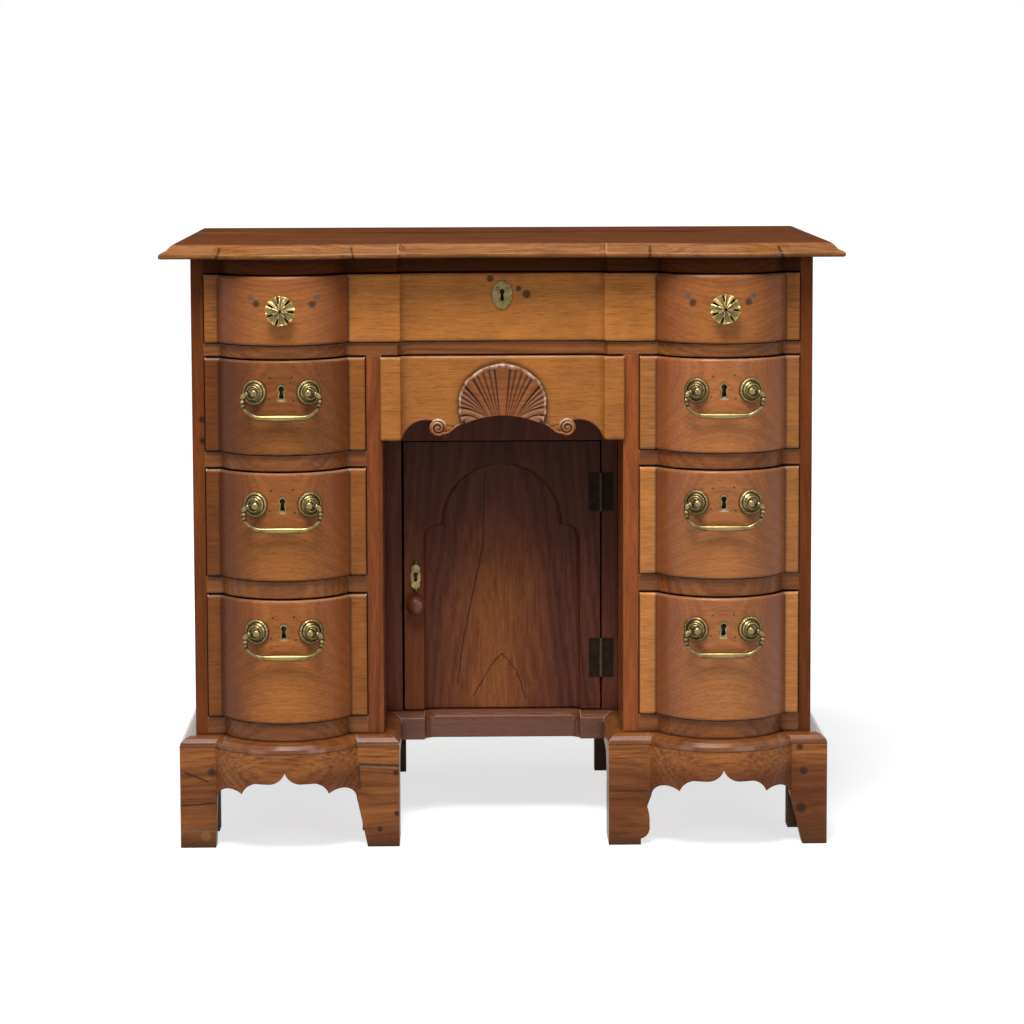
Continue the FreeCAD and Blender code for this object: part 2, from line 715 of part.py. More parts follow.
def scallop(centre, left_edge, right_edge):
    """The shaped lower edge of a front skirt, with the space between the edges of its two feet."""
    inner = value("foot_inner")
    top = value("foot_top")
    step = value("scallop_width")
    flat = top + value("scallop_flat")
    notch = value("scallop_notch")
    foot = (inner, top)
    crown = (inner - step, top + value("scallop_crown"))
    dip = (inner - 2 * step, top + value("scallop_dip"))
    shoulder = (inner - 3 * step, flat)
    half = [foot, curved(foot, crown, 0.19), curved(crown, dip, 0.09), curved(dip, shoulder, 0.13),
            (notch, flat), curved((notch, flat), (0, top + value("scallop_point")), -0.15)]
    right = right_edge + half
    left = reversed_path(mirrored(left_edge + half))
    return [shifted(point, centre) for point in right + left[1:]]


def front_brackets():
    """The front skirts with their feet, hollow behind the blocks."""
    height = value("base_height")
    project = value("skirt_project")
    inner = value("skirt_back")
    edges = {-1: (plain_foot("outer_left_taper"), plain_foot("inner_left_taper")),
             1: (ogee_foot(), plain_foot("outer_right_taper"))}
    pieces = []
    for side in SIDES.values():
        path = front_band(project, inner)
        plan = prism(path if side > 0 else mirrored(path), level(0), (0, 0, height))
        centre = side * value("block_centre")
        hollow = Part.makeCylinder(value("block_radius") - inner, height,
                                   FreeCAD.Vector(centre, value("block_axis"), 0))
        left_edge, right_edge = edges[side]
        reach = value("block_bow") + value("mould_project")
        space = prism(scallop(centre, left_edge, right_edge), upright(-2 * reach), (0, 4 * reach, 0))
        pieces.append(formed("front_bracket", plan.cut([hollow, space])))
    return pieces


def arch_space(low, high, arch):
    """The space between two side or rear feet, in elevation."""
    top = value("foot_top")
    ease = value("arch_ease")
    swell = -0.2
    rising = [(low, -PAST), (low, top), curved((low, top), (low + ease, arch), swell)]
    return rising + [(high - ease, arch), curved((high - ease, arch), (high, top), swell), (high, -PAST)]


def side_brackets():
    """The boards along the sides, along the kneehole and across the back, cut to feet."""
    height = value("base_height")
    project = value("skirt_project")
    inner = value("skirt_back")
    foot = value("side_foot_width")
    arch = value("side_arch_height")
    depth = value("case_depth")
    strip = value("strip_bottom")
    outer_x = value("case_half")
    inner_x = value("knee_half")
    front = foot - project
    back_front = depth - value("bracket_thickness")
    knee_end = value("kneehole_depth") - project
    outer_space = arch_space(front, depth - foot, arch)
    knee_space = arch_space(front, depth, strip)
    back_space = arch_space(inner_x - project + foot, outer_x - inner - foot, arch)
    plan_outer = outer_band(project, inner)
    plan_knee = [(inner_x + inner, inner), (inner_x - project, -project), (inner_x - project, knee_end),
                 (inner_x + inner, knee_end)]
    plan_back = [(inner_x - project, back_front), (outer_x - inner, back_front), (outer_x - inner, depth),
                 (inner_x - project, depth)]
    pieces = []
    for side in SIDES.values():
        spaces = [prism(outer_space, sideways(-2 * outer_x), (4 * outer_x, 0, 0)),
                  prism(knee_space, sideways(-2 * outer_x), (4 * outer_x, 0, 0)),
                  prism(back_space if side > 0 else mirrored(back_space), upright(0), (0, 2 * depth, 0))]
        for plan, space in zip((plan_outer, plan_knee, plan_back), spaces):
            path = plan if side > 0 else mirrored(plan)
            pieces.append(formed("bracket", prism(path, level(0), (0, 0, height)).cut(space)))
    return pieces


def glue_blocks():
    """Upright blocks in the corners behind the feet, from just above the floor to the base frame."""
    z = ("foot_top / 4", "base_height")
    rear = "case_depth - bracket_thickness"
    pieces = []
    for side in SIDES.values():
        outer = across("case_half - skirt_back - glue_block", "case_half - skirt_back", side)
        inner = across("knee_half + skirt_back", "knee_half + skirt_back + glue_block", side)
        for x in (outer, inner):
            pieces.append(board("front_block", x, ("skirt_back", "skirt_back + glue_block"), z))
            pieces.append(board("rear_block", x, (f"{rear} - glue_block", rear), z))
    return pieces


# Drawers

RIM_TURNS = (0.15, 0.55, 1.0, math.pi / 2)


def front_path(ends, back, features, turn, lip):
    """Plan of a drawer front where its rounded edge has turned by an angle."""
    left, right = ends
    round_edge = value("edge_round")
    proud = value("front_proud")
    base = proud - round_edge
    offset = base + round_edge * math.sin(turn)
    inset = round_edge * (1 - math.cos(turn))
    lag = round_edge * (1 - math.cos(turn / 2))
    lag_y = -base - round_edge * math.sin(turn / 2)
    wide_left = left - lip
    wide_right = right + lip
    path = [(left, back)]
    if lip:
        path += [(left, -value("running_gap")), (wide_left, -value("running_gap"))]
    path += [(wide_left, -base), (wide_left + inset, -offset, wide_left + lag, lag_y)]
    for feature in features:
        path += feature(offset)
    path += [(wide_right - inset, -offset), (wide_right, -base, wide_right - lag, lag_y)]
    if lip:
        path += [(wide_right, -value("running_gap")), (right, -value("running_gap"))]
    return path + [(right, back)]


def front_solid(ends, heights, back, features, lip=0):
    """A drawer front with rounded edges, as a stack of its outlines."""
    bottom, top = heights
    first = math.cos(RIM_TURNS[0])
    rises = [value("edge_round") * (first - math.cos(turn)) / first for turn in RIM_TURNS]
    rows = [(bottom + rise, turn) for rise, turn in zip(rises, RIM_TURNS)]
    rows += [(top - rise, turn) for rise, turn in zip(rises[::-1], RIM_TURNS[::-1])]
    return stacked([(front_path(ends, back, features, turn, lip), level(height)) for height, turn in rows])


def drawer_box(x, y, z):
    """Two sides, a back and a bottom."""
    left, right = x
    front, back = y
    low, high = z
    inside = (f"{left} + drawer_side", f"{right} - drawer_side")
    return [board("left_side", (left, f"{left} + drawer_side"), (front, back), (low, high)),
            board("right_side", (f"{right} - drawer_side", right), (front, back), (low, high)),
            board("drawer_back", inside, (f"{back} - drawer_side", back), (low, high)),
            board("drawer_base", inside, (front, f"{back} - drawer_side"),
                  (f"{low} + bottom_rise", f"{low} + bottom_rise + drawer_bottom"))]


def lock_recess(centre, front, key, top, back):
    """Room for a lock case in the back of a front, open at the top and behind."""
    gap = value("running_gap")
    width = value("lock_width") + 2 * gap
    low = key - value("lock_below_key") - gap
    corner = FreeCAD.Vector(centre - width / 2, front, low)
    return Part.makeBox(width, back - front, top - low + PAST, corner)


def lock_case(centre, front, key, top):
    """A lock case with a channel for its bolt and a keyhole."""
    low = key - value("lock_below_key")
    case = Part.makeBox(value("lock_width"), value("lock_depth"), top - low,
                        FreeCAD.Vector(centre - value("lock_width") / 2, front, low))
    gap = value("running_gap")
    slot_depth = value("bolt_depth") + 2 * gap
    slot_width = value("bolt_width") + 2 * gap
    slot_front = front + (value("lock_depth") - slot_depth) / 2
    slot_low = top - value("bolt_length") - gap
    slot = Part.makeBox(slot_width, slot_depth, top - slot_low + PAST,
                        FreeCAD.Vector(centre - slot_width / 2, slot_front, slot_low))
    hole = keyhole((centre, key), value("key_width"), value("key_height"), front - PAST,
                   slot_front - front + 2 * PAST)
    return case.cut([slot, hole])


def lock_bolt(centre, front, top):
    """A bolt drawn back level with the top of its lock."""
    bolt_front = front + (value("lock_depth") - value("bolt_depth")) / 2
    corner = FreeCAD.Vector(centre - value("bolt_width") / 2, bolt_front, top - value("bolt_length"))
    return Part.makeBox(value("bolt_width"), value("bolt_depth"), value("bolt_length"), corner)


def long_drawer():
    """The long drawer: two blocks, the sunk bay, two flower knobs and an oval escutcheon."""
    half = value("opening_out") - value("front_side_gap")
    bottom = value("long_level") + value("front_bottom_gap")
    top = value("top_rail_bottom") - value("front_top_gap")
    centre = value("block_centre")
    features = [lambda offset: block_points(-centre, offset), bay_points,
                lambda offset: block_points(centre, offset)]
    back = value("wide_front_back")
    face = value("recess_depth") - value("front_proud")
    lock_front = face + value("lock_back_cover")
    key = value("long_key_height")
    knob_height = value("rosette_knob_height")
    apex = -(value("block_bow") + value("front_proud"))
    shank = value("post_shank")
    tools = [lock_recess(0, lock_front, key, top, back + PAST),
             keyhole((0, key), value("key_width"), value("key_height"), face - PAST,
                     lock_front - face + 2 * PAST)]
    floor = value("long_level") + value("running_gap") + value("bottom_rise") + value("drawer_bottom")
    knobs = []
    for side in SIDES.values():
        tools.append(Part.makeCylinder(value("face_radius") - value("block_wall"), top,
                                       FreeCAD.Vector(side * centre, value("block_axis"), floor)))
        place = FreeCAD.Vector(side * centre, apex, knob_height)
        tools.append(bore(shank, -value("shank_length") - PAST).translated(place))
        knobs.append(formed("flower_knob", flower_knob().translated(place)))
    front = front_solid((-half, half), (bottom, top), back, features).cut(tools)
    node("long_drawer_front", [formed("long_front", front)])
    x = ("front_side_gap - opening_out", "opening_out - front_side_gap")
    z = ("long_level + running_gap", "top_rail_bottom - box_top_gap")
    node("long_drawer_box", drawer_box(x, ("wide_front_back", "drawer_end"), z))
    node("long_drawer_knobs", knobs)
    plate = value("plate_thickness")
    oval = Part.Face(Part.Wire(Part.Ellipse(FreeCAD.Vector(0, 0, 0), value("oval_height") / 2,
                                            value("oval_width") / 2).toShape()))
    oval = oval.extrude(FreeCAD.Vector(0, 0, plate))
    oval.rotate(FreeCAD.Vector(0, 0, 0), FreeCAD.Vector(0, 0, 1), 90)
    oval.rotate(FreeCAD.Vector(0, 0, 0), FreeCAD.Vector(1, 0, 0), 90)
    oval = oval.translated(FreeCAD.Vector(0, face, key))
    hole = keyhole((0, key), value("key_width"), value("key_height"), face - plate - PAST, plate + 2 * PAST)
    node("long_drawer_lock", [formed("oval_escutcheon", oval.cut(hole)),
                              formed("long_lock", lock_case(0, lock_front, key, top))])
    node("long_drawer_bolt", [formed("long_bolt", lock_bolt(0, lock_front, top))])


def flower_knob():
    """A round knob with a scalloped, dished head on a waisted neck."""
    radius = value("rosette_knob_radius")
    depth = value("rosette_knob_depth")
    neck = value("rosette_knob_neck")
    shank = value("post_shank")
    length = value("shank_length")
    body = turned([(-length, 0), (-length, shank), (0, shank), (0, neck * 1.6), (depth * 0.12, neck * 1.5),
                   (depth * 0.25, neck), (depth * 0.45, neck), (depth * 0.6, radius * 0.8),
                   (depth * 0.72, radius), (depth * 0.82, radius * 0.95), (depth * 0.9, radius * 0.7),
                   (depth, radius * 0.3), (depth, 0)])
    petals = 12
    notch = radius * 0.11
    notches = []
    for petal in range(petals):
        turn = 2 * math.pi * petal / petals
        base = FreeCAD.Vector(radius * math.cos(turn), 0, radius * math.sin(turn))
        notches.append(Part.makeCylinder(notch, depth, base, FreeCAD.Vector(0, -1, 0)))
    return body.cut(notches)


def shell_relief(face, bottom):
    """The raised ground of the carved shell: scallops round a fan."""
    lobes = int(value("shell_lobes"))
    half = value("shell_half_width")
    height = value("shell_height")
    hub = bottom + value("arch_peak")
    droop = 0.35
    swell = 1.05

    def rim(share, reach):
        turn = (math.pi + 2 * droop) * share - droop
        return half * math.cos(turn) * reach, hub + height * math.sin(turn) * reach

    path = [rim(0, 1)]
    for lobe in range(lobes):
        path.append(rim((lobe + 1) / lobes, 1) + rim((lobe + 0.5) / lobes, swell))
    relief = value("shell_relief")
    return prism(path, upright(face - relief), (0, relief + PAST, 0))


def valance_cutter(bottom):
    """The space under the shaped lower edge of the shell drawer."""
    volute = value("volute_place")
    radius = value("volute_radius")
    mid = bottom + value("volute_height")
    below = bottom - value("volute_height")
    end = (value("arch_half"), bottom)
    crown = (volute + radius * 0.8, mid + radius * 0.85)
    heel = (volute - radius * 0.8, mid + radius * 0.5)
    cusp = (value("cusp_place"), bottom + value("cusp_height"))
    peak = (0, bottom + value("arch_peak"))
    half = [end, curved(end, crown, 0.2), heel, curved(heel, cusp, -0.16), curved(cusp, peak, 0.05)]
    path = [(end[0], below)] + half + reversed_path(mirrored(half))[1:] + [(-end[0], below)]
    deep = value("wide_front_back") + 2 * value("recess_cove")
    return prism(path, upright(-value("recess_cove")), (0, deep, 0))


def shell_drawer():
    """The drawer over the kneehole: a shaped lower edge with scrolls under a carved shell."""
    half = value("knee_half") - value("front_side_gap")
    bottom = value("shell_bottom")
    back = value("wide_front_back")
    face = value("recess_depth") - value("front_proud")
    front = front_solid((-half, half), (bottom, value("shell_top")), back, [bay_points], value("shell_lip"))
    front = front.fuse(shell_relief(face, bottom)).cut(valance_cutter(bottom))
    scrolls = []
    for side in SIDES.values():
        centre = FreeCAD.Vector(side * value("volute_place"), face - value("volute_proud"),
                                bottom + value("volute_height"))
        length = back - face + value("volute_proud")
        scrolls.append(Part.makeCylinder(value("volute_radius"), length, centre, FreeCAD.Vector(0, 1, 0)))
    node("shell_drawer_front", [formed("shell_front", front.fuse(scrolls))])
    x = ("front_side_gap - knee_half", "knee_half - front_side_gap")
    z = ("shell_runner_top + running_gap", "long_bottom - shell_box_gap")
    node("shell_drawer_box", drawer_box(x, ("wide_front_back", "drawer_end"), z))


def post(side, place):
    """One post of a pull, straight out, with its nut inside the drawer and its plate lying on the block."""
    lean = math.asin(value("post_half") / value("face_radius")) * side
    reach = value("post_reach")
    neck = value("post_neck")
    shank = value("post_shank")
    thick = value("nut_thickness")
    clear = value("pin_clearance")
    seat = value("nut_seat")
    head = value("post_head")
    foot = neck * math.tan(abs(lean)) + clear
    stem = turned([(-seat - thick - shank, 0), (-seat - thick - shank, shank), (foot, shank), (foot, neck),
                   (reach, neck), (reach, 0)])
    stem = stem.fuse(Part.makeSphere(head, FreeCAD.Vector(0, -reach, 0)))
    eye = Part.makeCylinder(value("bail_pin") + clear, 4 * head, FreeCAD.Vector(-2 * head, -reach, 0),
                            FreeCAD.Vector(1, 0, 0))
    radius = value("rosette_radius")
    deep = value("rosette_depth")
    plate = turned([(0, 0), (0, radius), (0.25 * deep, radius), (0.45 * deep, 0.9 * radius),
                    (0.35 * deep, 0.76 * radius), (0.6 * deep, 0.64 * radius), (0.8 * deep, 0.5 * radius),
                    (deep, 0.36 * radius), (deep, 0)])
    plate.rotate(FreeCAD.Vector(0, 0, 0), FreeCAD.Vector(0, 0, 1), math.degrees(lean))
    plate = plate.cut(Part.makeCylinder(neck + clear, 2 * reach, FreeCAD.Vector(0, reach, 0),
                                        FreeCAD.Vector(0, -1, 0)))
    nut = turned([(-seat - thick, shank + clear), (-seat - thick, value("nut_radius")),
                  (-seat, value("nut_radius")), (-seat, shank + clear)])
    solids = [shape.translated(place) for shape in (stem.cut(eye), plate, nut)]
    return solids, bore(shank, -seat - thick).translated(place)


def bail(place):
    """A swinging handle: pins in the posts, knobbed ends, two bent arms and a swelling grip."""
    half = value("bail_half")
    drop = value("bail_drop")
    bend = value("bail_bend")
    arm = value("bail_arm")
    swell = value("bail_swell")
    grip = half - bend
    lag = bend * (1 - math.sin(math.pi / 4))
    along = FreeCAD.Vector(1, 0, 0)
    spindle = [(-grip, 0), (-grip, arm), (-grip / 2, (arm + swell) / 2), (0, swell),
               (grip / 2, (arm + swell) / 2), (grip, arm), (grip, 0)]
    corners = [FreeCAD.Vector(x, 0, radius) for x, radius in spindle]
    middle = Part.Face(Part.makePolygon(corners + corners[:1]))
    middle = middle.revolve(FreeCAD.Vector(0, 0, 0), along, 360).translated(FreeCAD.Vector(0, 0, -drop))
    pieces = []
    for side in SIDES.values():
        start = FreeCAD.Vector(side * half, 0, 0)
        knee = FreeCAD.Vector(side * half, 0, bend - drop)
        elbow = FreeCAD.Vector(side * (half - lag), 0, lag - drop)
        end = FreeCAD.Vector(side * grip, 0, -drop)
        spine = Part.Wire([Part.LineSegment(start, knee).toShape(), Part.Arc(knee, elbow, end).toShape()])
        section = Part.Wire(Part.Circle(start, FreeCAD.Vector(0, 0, 1), arm).toShape())
        pieces.append(spine.makePipeShell([section], True, False))
        for height in (0, -0.24 * drop):
            radius = value("bail_knuckle") * (1 + 0.5 * height / drop)
            pieces.append(Part.makeSphere(radius, FreeCAD.Vector(side * half, 0, height)))
        reach = half - value("post_half")
        collar = reach - value("post_head") - value("cut_past")
        pieces.append(Part.makeCylinder(arm, collar, start, along * -side))
        pin_length = reach + value("post_head") / 2
        pieces.append(Part.makeCylinder(value("bail_pin"), pin_length, start, along * -side))
    return middle.fuse(pieces).translated(place)


def pedestal_drawer(row, side_name):
    """One of the six blocked drawers, with its pull and its lock."""
    side = SIDES[side_name]
    name = f"{row}_{side_name}_drawer"
    low = f"{row}_level"
    opening = f"{row}_opening"
    near = value("opening_in") + value("front_side_gap")
    far = value("opening_out") - value("front_side_gap")
    ends = (near, far) if side > 0 else (-far, -near)
    bottom = value(low) + value("front_bottom_gap")
    top = value(low) + value(opening) - value("front_top_gap")
    centre = side * value("block_centre")
    apex = -(value("block_bow") + value("front_proud"))
    key = top - value("handle_drop")
    lock_front = apex + value("lock_cover")
    floor = value(low) + value("running_gap") + value("bottom_rise") + value("drawer_bottom")
    axis = FreeCAD.Vector(centre, value("block_axis"), floor)
    place = (centre, key)
    plate = value("plate_thickness")
    liner = keyhole(place, value("liner_width"), value("liner_height"), apex, plate)
    seat = keyhole(place, value("liner_width"), value("liner_height"), apex - PAST, plate + PAST)
    hole = keyhole(place, value("liner_hole_width"), value("liner_hole_height"), apex - PAST,
                   value("lock_cover") + 2 * PAST)
    tools = [Part.makeCylinder(value("face_radius") - value("block_wall"), value(opening), axis),
             lock_recess(centre, lock_front, key, top, 0), seat, hole]
    fittings = []
    for post_side in SIDES.values():
        foot = FreeCAD.Vector(centre + post_side * value("post_half"), value("post_surface"), key)
        solids, shank_hole = post(post_side, foot)
        fittings += [formed("pull_part", solid) for solid in solids]
        tools.append(shank_hole)
    fittings.append(formed("keyhole_liner", liner.cut(hole)))
    fittings.append(formed("lock", lock_case(centre, lock_front, key, top)))
    features = [lambda offset: block_points(centre, offset)]
    front = front_solid(ends, (bottom, top), value("front_back"), features).cut(tools)
    node(f"{name}_front", [formed("front", front)])
    x = across("opening_in + front_side_gap", "opening_out - front_side_gap", side)
    z = (f"{low} + running_gap", f"{low} + {opening} - box_top_gap")
    node(f"{name}_box", drawer_box(x, ("front_back", "drawer_end"), z))
    node(f"{name}_fittings", fittings)
    node(f"{name}_bail", [formed("bail", bail(FreeCAD.Vector(centre, value("pull_axis"), key)))])
    node(f"{name}_bolt", [formed("bolt", lock_bolt(centre, lock_front, top))])


# Door

def tombstone(inset):
    """Outline of the sunk panel of the door, drawn in by an inset, open to the foot of the door."""
    half = value("panel_half") - inset
    arch = value("panel_arch") - inset
    ear = value("panel_ear") - inset
    ear_x = value("panel_half") - value("panel_ear")
    spring = value("panel_spring")
    ear_z = spring - value("panel_ear") - PAST
    slope = math.sin(math.pi / 4) * ear
    right = [(half, value("door_low") - PAST), (half, ear_z),
             (ear_x, ear_z + ear, ear_x + slope, ear_z + slope), (arch, ear_z + ear), (arch, spring)]
    left = [(-arch, spring, 0, spring + arch)] + reversed_path(mirrored(right))[1:]
    return right + left


def door_panel():
    """The door with its sunk arched panel, its lock pocket and its holes."""
    front = value("kneehole_depth")
    thick = value("frame_thickness")
    low = value("door_low")
    left = -value("door_left")
    door = Part.makeBox(value("door_right") - left, thick, value("door_high") - low,
                        FreeCAD.Vector(left, front, low))
    sections = [(tombstone(0), upright(front - PAST))]
    for turn in QUARTER_ROUND:
        sections.append((tombstone(value("panel_cove") * (1 - math.cos(turn))),
                         upright(front + value("panel_sink") * math.sin(turn))))
    place = -value("door_knob_place")
    pocket = door_lock_case(value("running_gap"))
    hole = keyhole((place, value("door_key_height")), value("key_width"), value("key_height"), front - PAST,
                   thick / 2)
    shank = bore(value("post_shank"), -value("shank_length") - PAST)
    shank = shank.translated(FreeCAD.Vector(place, front, value("door_knob_height")))
    return door.cut([stacked(sections), pocket, hole, shank])


def door_lock_case(gap):
    """The lock case in the edge of the door, or the pocket for it when it gets a gap."""
    deep = value("lock_depth") + 2 * gap
    length = value("door_left") - value("door_knob_place") + value("door_lock_past_key")
    width = value("lock_width") + 2 * gap
    front = value("kneehole_depth") + (value("frame_thickness") - deep) / 2
    past = PAST if gap else 0
    corner = FreeCAD.Vector(-value("door_left") - past, front, value("door_key_height") - width / 2)
    return Part.makeBox(length + gap + past, deep, width, corner)


def door_knob():
    """A turned knob with a low dome, on its shank."""
    radius = value("door_knob_radius")
    depth = value("door_knob_depth")
    neck = value("door_knob_neck")
    shank = value("post_shank")
    length = value("shank_length")
    return turned([(-length, 0), (-length, shank), (0, shank), (0, neck * 1.3), (depth * 0.12, neck * 1.2),
                   (depth * 0.28, neck), (depth * 0.42, radius * 0.8), (depth * 0.55, radius),
                   (depth * 0.7, radius * 0.98), (depth * 0.86, radius * 0.72),
                   (depth * 0.96, radius * 0.36), (depth, 0)])


def door_escutcheon():
    """A waisted plate with round ends, about the origin of an elevation."""
    half_width = value("door_plate_width") / 2
    half_height = value("door_plate_height") / 2
    waist = half_width * 0.75
    step = half_height * 0.45
    flank = step * 0.6
    upper = [(half_width, flank), (waist, step), (-waist, step, 0, half_height), (-half_width, flank)]
    lower = [(-half_width, -flank), (-waist, -step), (waist, -step, 0, -half_height), (half_width, -flank)]
    return prism(upper + lower, upright(-value("plate_thickness")), (0, value("plate_thickness"), 0))


def door_parts():
    front = value("kneehole_depth")
    x = -value("door_knob_place")
    z = value("door_key_height")
    gap = value("running_gap")
    plate = value("plate_thickness")
    middle = front + value("frame_thickness") / 2
    node("door_panel", [formed("door", door_panel())])
    knob = door_knob().translated(FreeCAD.Vector(x, front, value("door_knob_height")))
    node("door_knob", [formed("knob", knob)])
    through = keyhole((x, z), value("key_width"), value("key_height"), front - plate - PAST,
                      middle - front + plate)
    escutcheon = door_escutcheon().translated(FreeCAD.Vector(x, front, z)).cut(through)
    slot_depth = value("bolt_depth") + 2 * gap
    slot_width = value("bolt_width") + 2 * gap
    corner = FreeCAD.Vector(-value("door_left") - PAST, middle - slot_depth / 2, z - slot_width / 2)
    slot = Part.makeBox(value("bolt_length") + gap + PAST, slot_depth, slot_width, corner)
    case = door_lock_case(0).cut([slot, through])
    node("door_lock", [formed("door_plate", escutcheon), formed("door_lock_box", case)])
    corner = FreeCAD.Vector(-value("door_left"), middle - value("bolt_depth") / 2,
                            z - value("bolt_width") / 2)
    bolt = Part.makeBox(value("bolt_length"), value("bolt_depth"), value("bolt_width"), corner)
    node("door_bolt", [formed("door_lock_bolt", bolt)])


def hinge_zones(centre):
    """Three knuckles of a hinge from the bottom up, with a running gap between them."""
    count = 3
    zones = []
    for index in range(count):
        low = f"{centre} - leaf_length / 2 + {index} * leaf_length / {count}"
        zones.append((f"{low} + running_gap / 2", f"{low} + leaf_length / {count} - running_gap / 2"))
    return zones


def hinge_leaf(centre, on_door):
    """One leaf with its knuckles, cleared for the knuckles of the other leaf."""
    lower, middle, upper = hinge_zones(centre)
    if on_door:
        own = [middle]
        other = [lower, upper]
        x = ("hinge_place - leaf_width", "hinge_place")
        room_x = ("hinge_place - knuckle_radius - running_gap", "hinge_place + cut_past")
    else:
        own = [lower, upper]
        other = [middle]
        x = ("hinge_place", "hinge_place + leaf_width")
        room_x = ("hinge_place - cut_past", "hinge_place + knuckle_radius + running_gap")
    plate = board("leaf", x, ("kneehole_depth - leaf_thickness", "kneehole_depth"), (lower[0], upper[1]))
    rooms = []
    for low, high in other:
        rooms.append(board("room", room_x, ("kneehole_depth - 2 * hinge_out", "kneehole_depth + cut_past"),
                           (f"{low} - running_gap", f"{high} + running_gap")))
    knuckles = [round_post("knuckle", "knuckle_radius", "hinge_place", "hinge_axis", zone) for zone in own]
    body = joined("leaf_body", [cut("cleared_leaf", plate, rooms)] + knuckles)
    hole = round_post("pin_hole", "pin_radius + pin_clearance", "hinge_place", "hinge_axis",
                      (f"{lower[0]} - cut_past", f"{upper[1]} + cut_past"))
    return cut("hinge_leaf", body, [hole])


def hinges():
    case_leaves = []
    door_leaves = []
    for centre in ("lower_hinge", "upper_hinge"):
        zones = hinge_zones(centre)
        case_leaves.append(hinge_leaf(centre, False))
        case_leaves.append(round_post("hinge_pin", "pin_radius", "hinge_place", "hinge_axis",
                                      (zones[0][0], zones[2][1])))
        door_leaves.append(hinge_leaf(centre, True))
    node("case_hinge_leaves", case_leaves)
    node("door_hinge_leaves", door_leaves)


# The whole assembly

ROWS = ("upper", "middle", "lower")

node("top_board", [top_board()])
for side_word, sign in SIDES.items():
    node(f"case_side_{side_word}", [case_side(sign)])
    node(f"kneehole_side_{side_word}", [kneehole_side(sign)])
node("back_boards", back_boards())
top_mortise = bolt_mortise("0", LONG_BOLT, "top_rail_bottom")
node("top_rail", [long_rail("rail_under_top", ("top_rail_bottom", "case_top"), [top_mortise])])
divider_mortises = []
for block in ("-block_centre", "block_centre"):
    divider_mortises.append(bolt_mortise(block, PEDESTAL_BOLT, "long_bottom"))
divider_z = ("long_bottom", "long_level")
node("long_divider_rail", [long_rail("rail_under_long_drawer", divider_z, divider_mortises)])
short_heights = (("middle_divider", "upper_level"), ("lower_divider", "middle_level"))
node("short_dividers", [short_rail(sign, z) for sign in SIDES.values() for z in short_heights])
node("bottom_boards", [bottom_board(sign) for sign in SIDES.values()])
node("drawer_runners", drawer_runners())
node("cupboard_frame", cupboard_frame())
node("cupboard_boards", cupboard_boards())
node("base_mouldings", base_mouldings())
node("front_brackets", front_brackets())
node("side_brackets", side_brackets())
node("glue_blocks", glue_blocks())
hinges()
door_parts()
long_drawer()
shell_drawer()
for row_name in ROWS:
    for side_word in SIDES:
        pedestal_drawer(row_name, side_word)
doc.recompute()

for item in doc.Objects:
    if "Invalid" in item.State or "Error" in item.State:
        raise RuntimeError(f"{item.Name} failed to build")
for group in nodes:
    if group.Shape.isNull() or not group.Shape.isValid():
        raise RuntimeError(f"{group.Label} has no sound shape")

os.makedirs("parts", exist_ok=True)
for group in nodes:
    group.Shape.exportStep(f"parts/{group.Label}.step")
    box = group.Shape.BoundBox
    print(f"{group.Label}: {len(group.Shape.Solids)} solids, {group.Shape.Volume / 1000:.1f} cm3, "
          f"y {box.YMin:.1f} to {box.YMax:.1f}, z {box.ZMin:.1f} to {box.ZMax:.1f}")
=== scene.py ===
"""Dresses the bureau table: its carving, its brasses, its wood and brass finishes, and a studio round it."""
import bpy
import json
import math
from bpy.props import FloatProperty, FloatVectorProperty, IntProperty, PointerProperty
from mathutils import Matrix, Vector


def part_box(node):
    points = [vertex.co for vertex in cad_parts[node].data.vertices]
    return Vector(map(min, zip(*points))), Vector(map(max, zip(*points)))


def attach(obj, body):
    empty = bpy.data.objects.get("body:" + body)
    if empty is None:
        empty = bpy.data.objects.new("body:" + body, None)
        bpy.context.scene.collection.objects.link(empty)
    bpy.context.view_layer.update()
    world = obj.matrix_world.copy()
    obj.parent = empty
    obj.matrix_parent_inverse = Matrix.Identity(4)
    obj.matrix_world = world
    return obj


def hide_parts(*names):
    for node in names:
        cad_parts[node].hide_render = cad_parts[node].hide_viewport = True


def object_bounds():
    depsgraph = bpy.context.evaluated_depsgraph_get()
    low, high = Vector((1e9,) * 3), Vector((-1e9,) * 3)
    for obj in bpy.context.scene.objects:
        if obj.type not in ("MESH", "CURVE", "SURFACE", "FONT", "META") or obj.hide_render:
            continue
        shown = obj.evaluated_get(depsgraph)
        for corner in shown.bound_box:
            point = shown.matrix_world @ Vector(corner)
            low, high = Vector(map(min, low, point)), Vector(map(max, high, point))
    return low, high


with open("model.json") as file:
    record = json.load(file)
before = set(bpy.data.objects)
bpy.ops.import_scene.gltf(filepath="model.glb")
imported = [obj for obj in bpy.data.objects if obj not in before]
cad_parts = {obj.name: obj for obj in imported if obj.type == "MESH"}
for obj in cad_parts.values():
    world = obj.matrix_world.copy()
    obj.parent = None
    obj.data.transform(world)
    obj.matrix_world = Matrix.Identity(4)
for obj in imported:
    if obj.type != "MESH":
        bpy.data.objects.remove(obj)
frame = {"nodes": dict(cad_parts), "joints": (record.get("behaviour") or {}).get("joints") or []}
CAD_BOX = [list(corner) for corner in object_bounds()]

bl_info = {
    "name": "Bureau table",
    "version": (1, 0, 0),
    "blender": (4, 5, 0),
    "location": "View3D > Sidebar > Bureau",
    "description": "Carving, brasses and finishes of a block-front kneehole bureau table",
    "category": "Object",
}

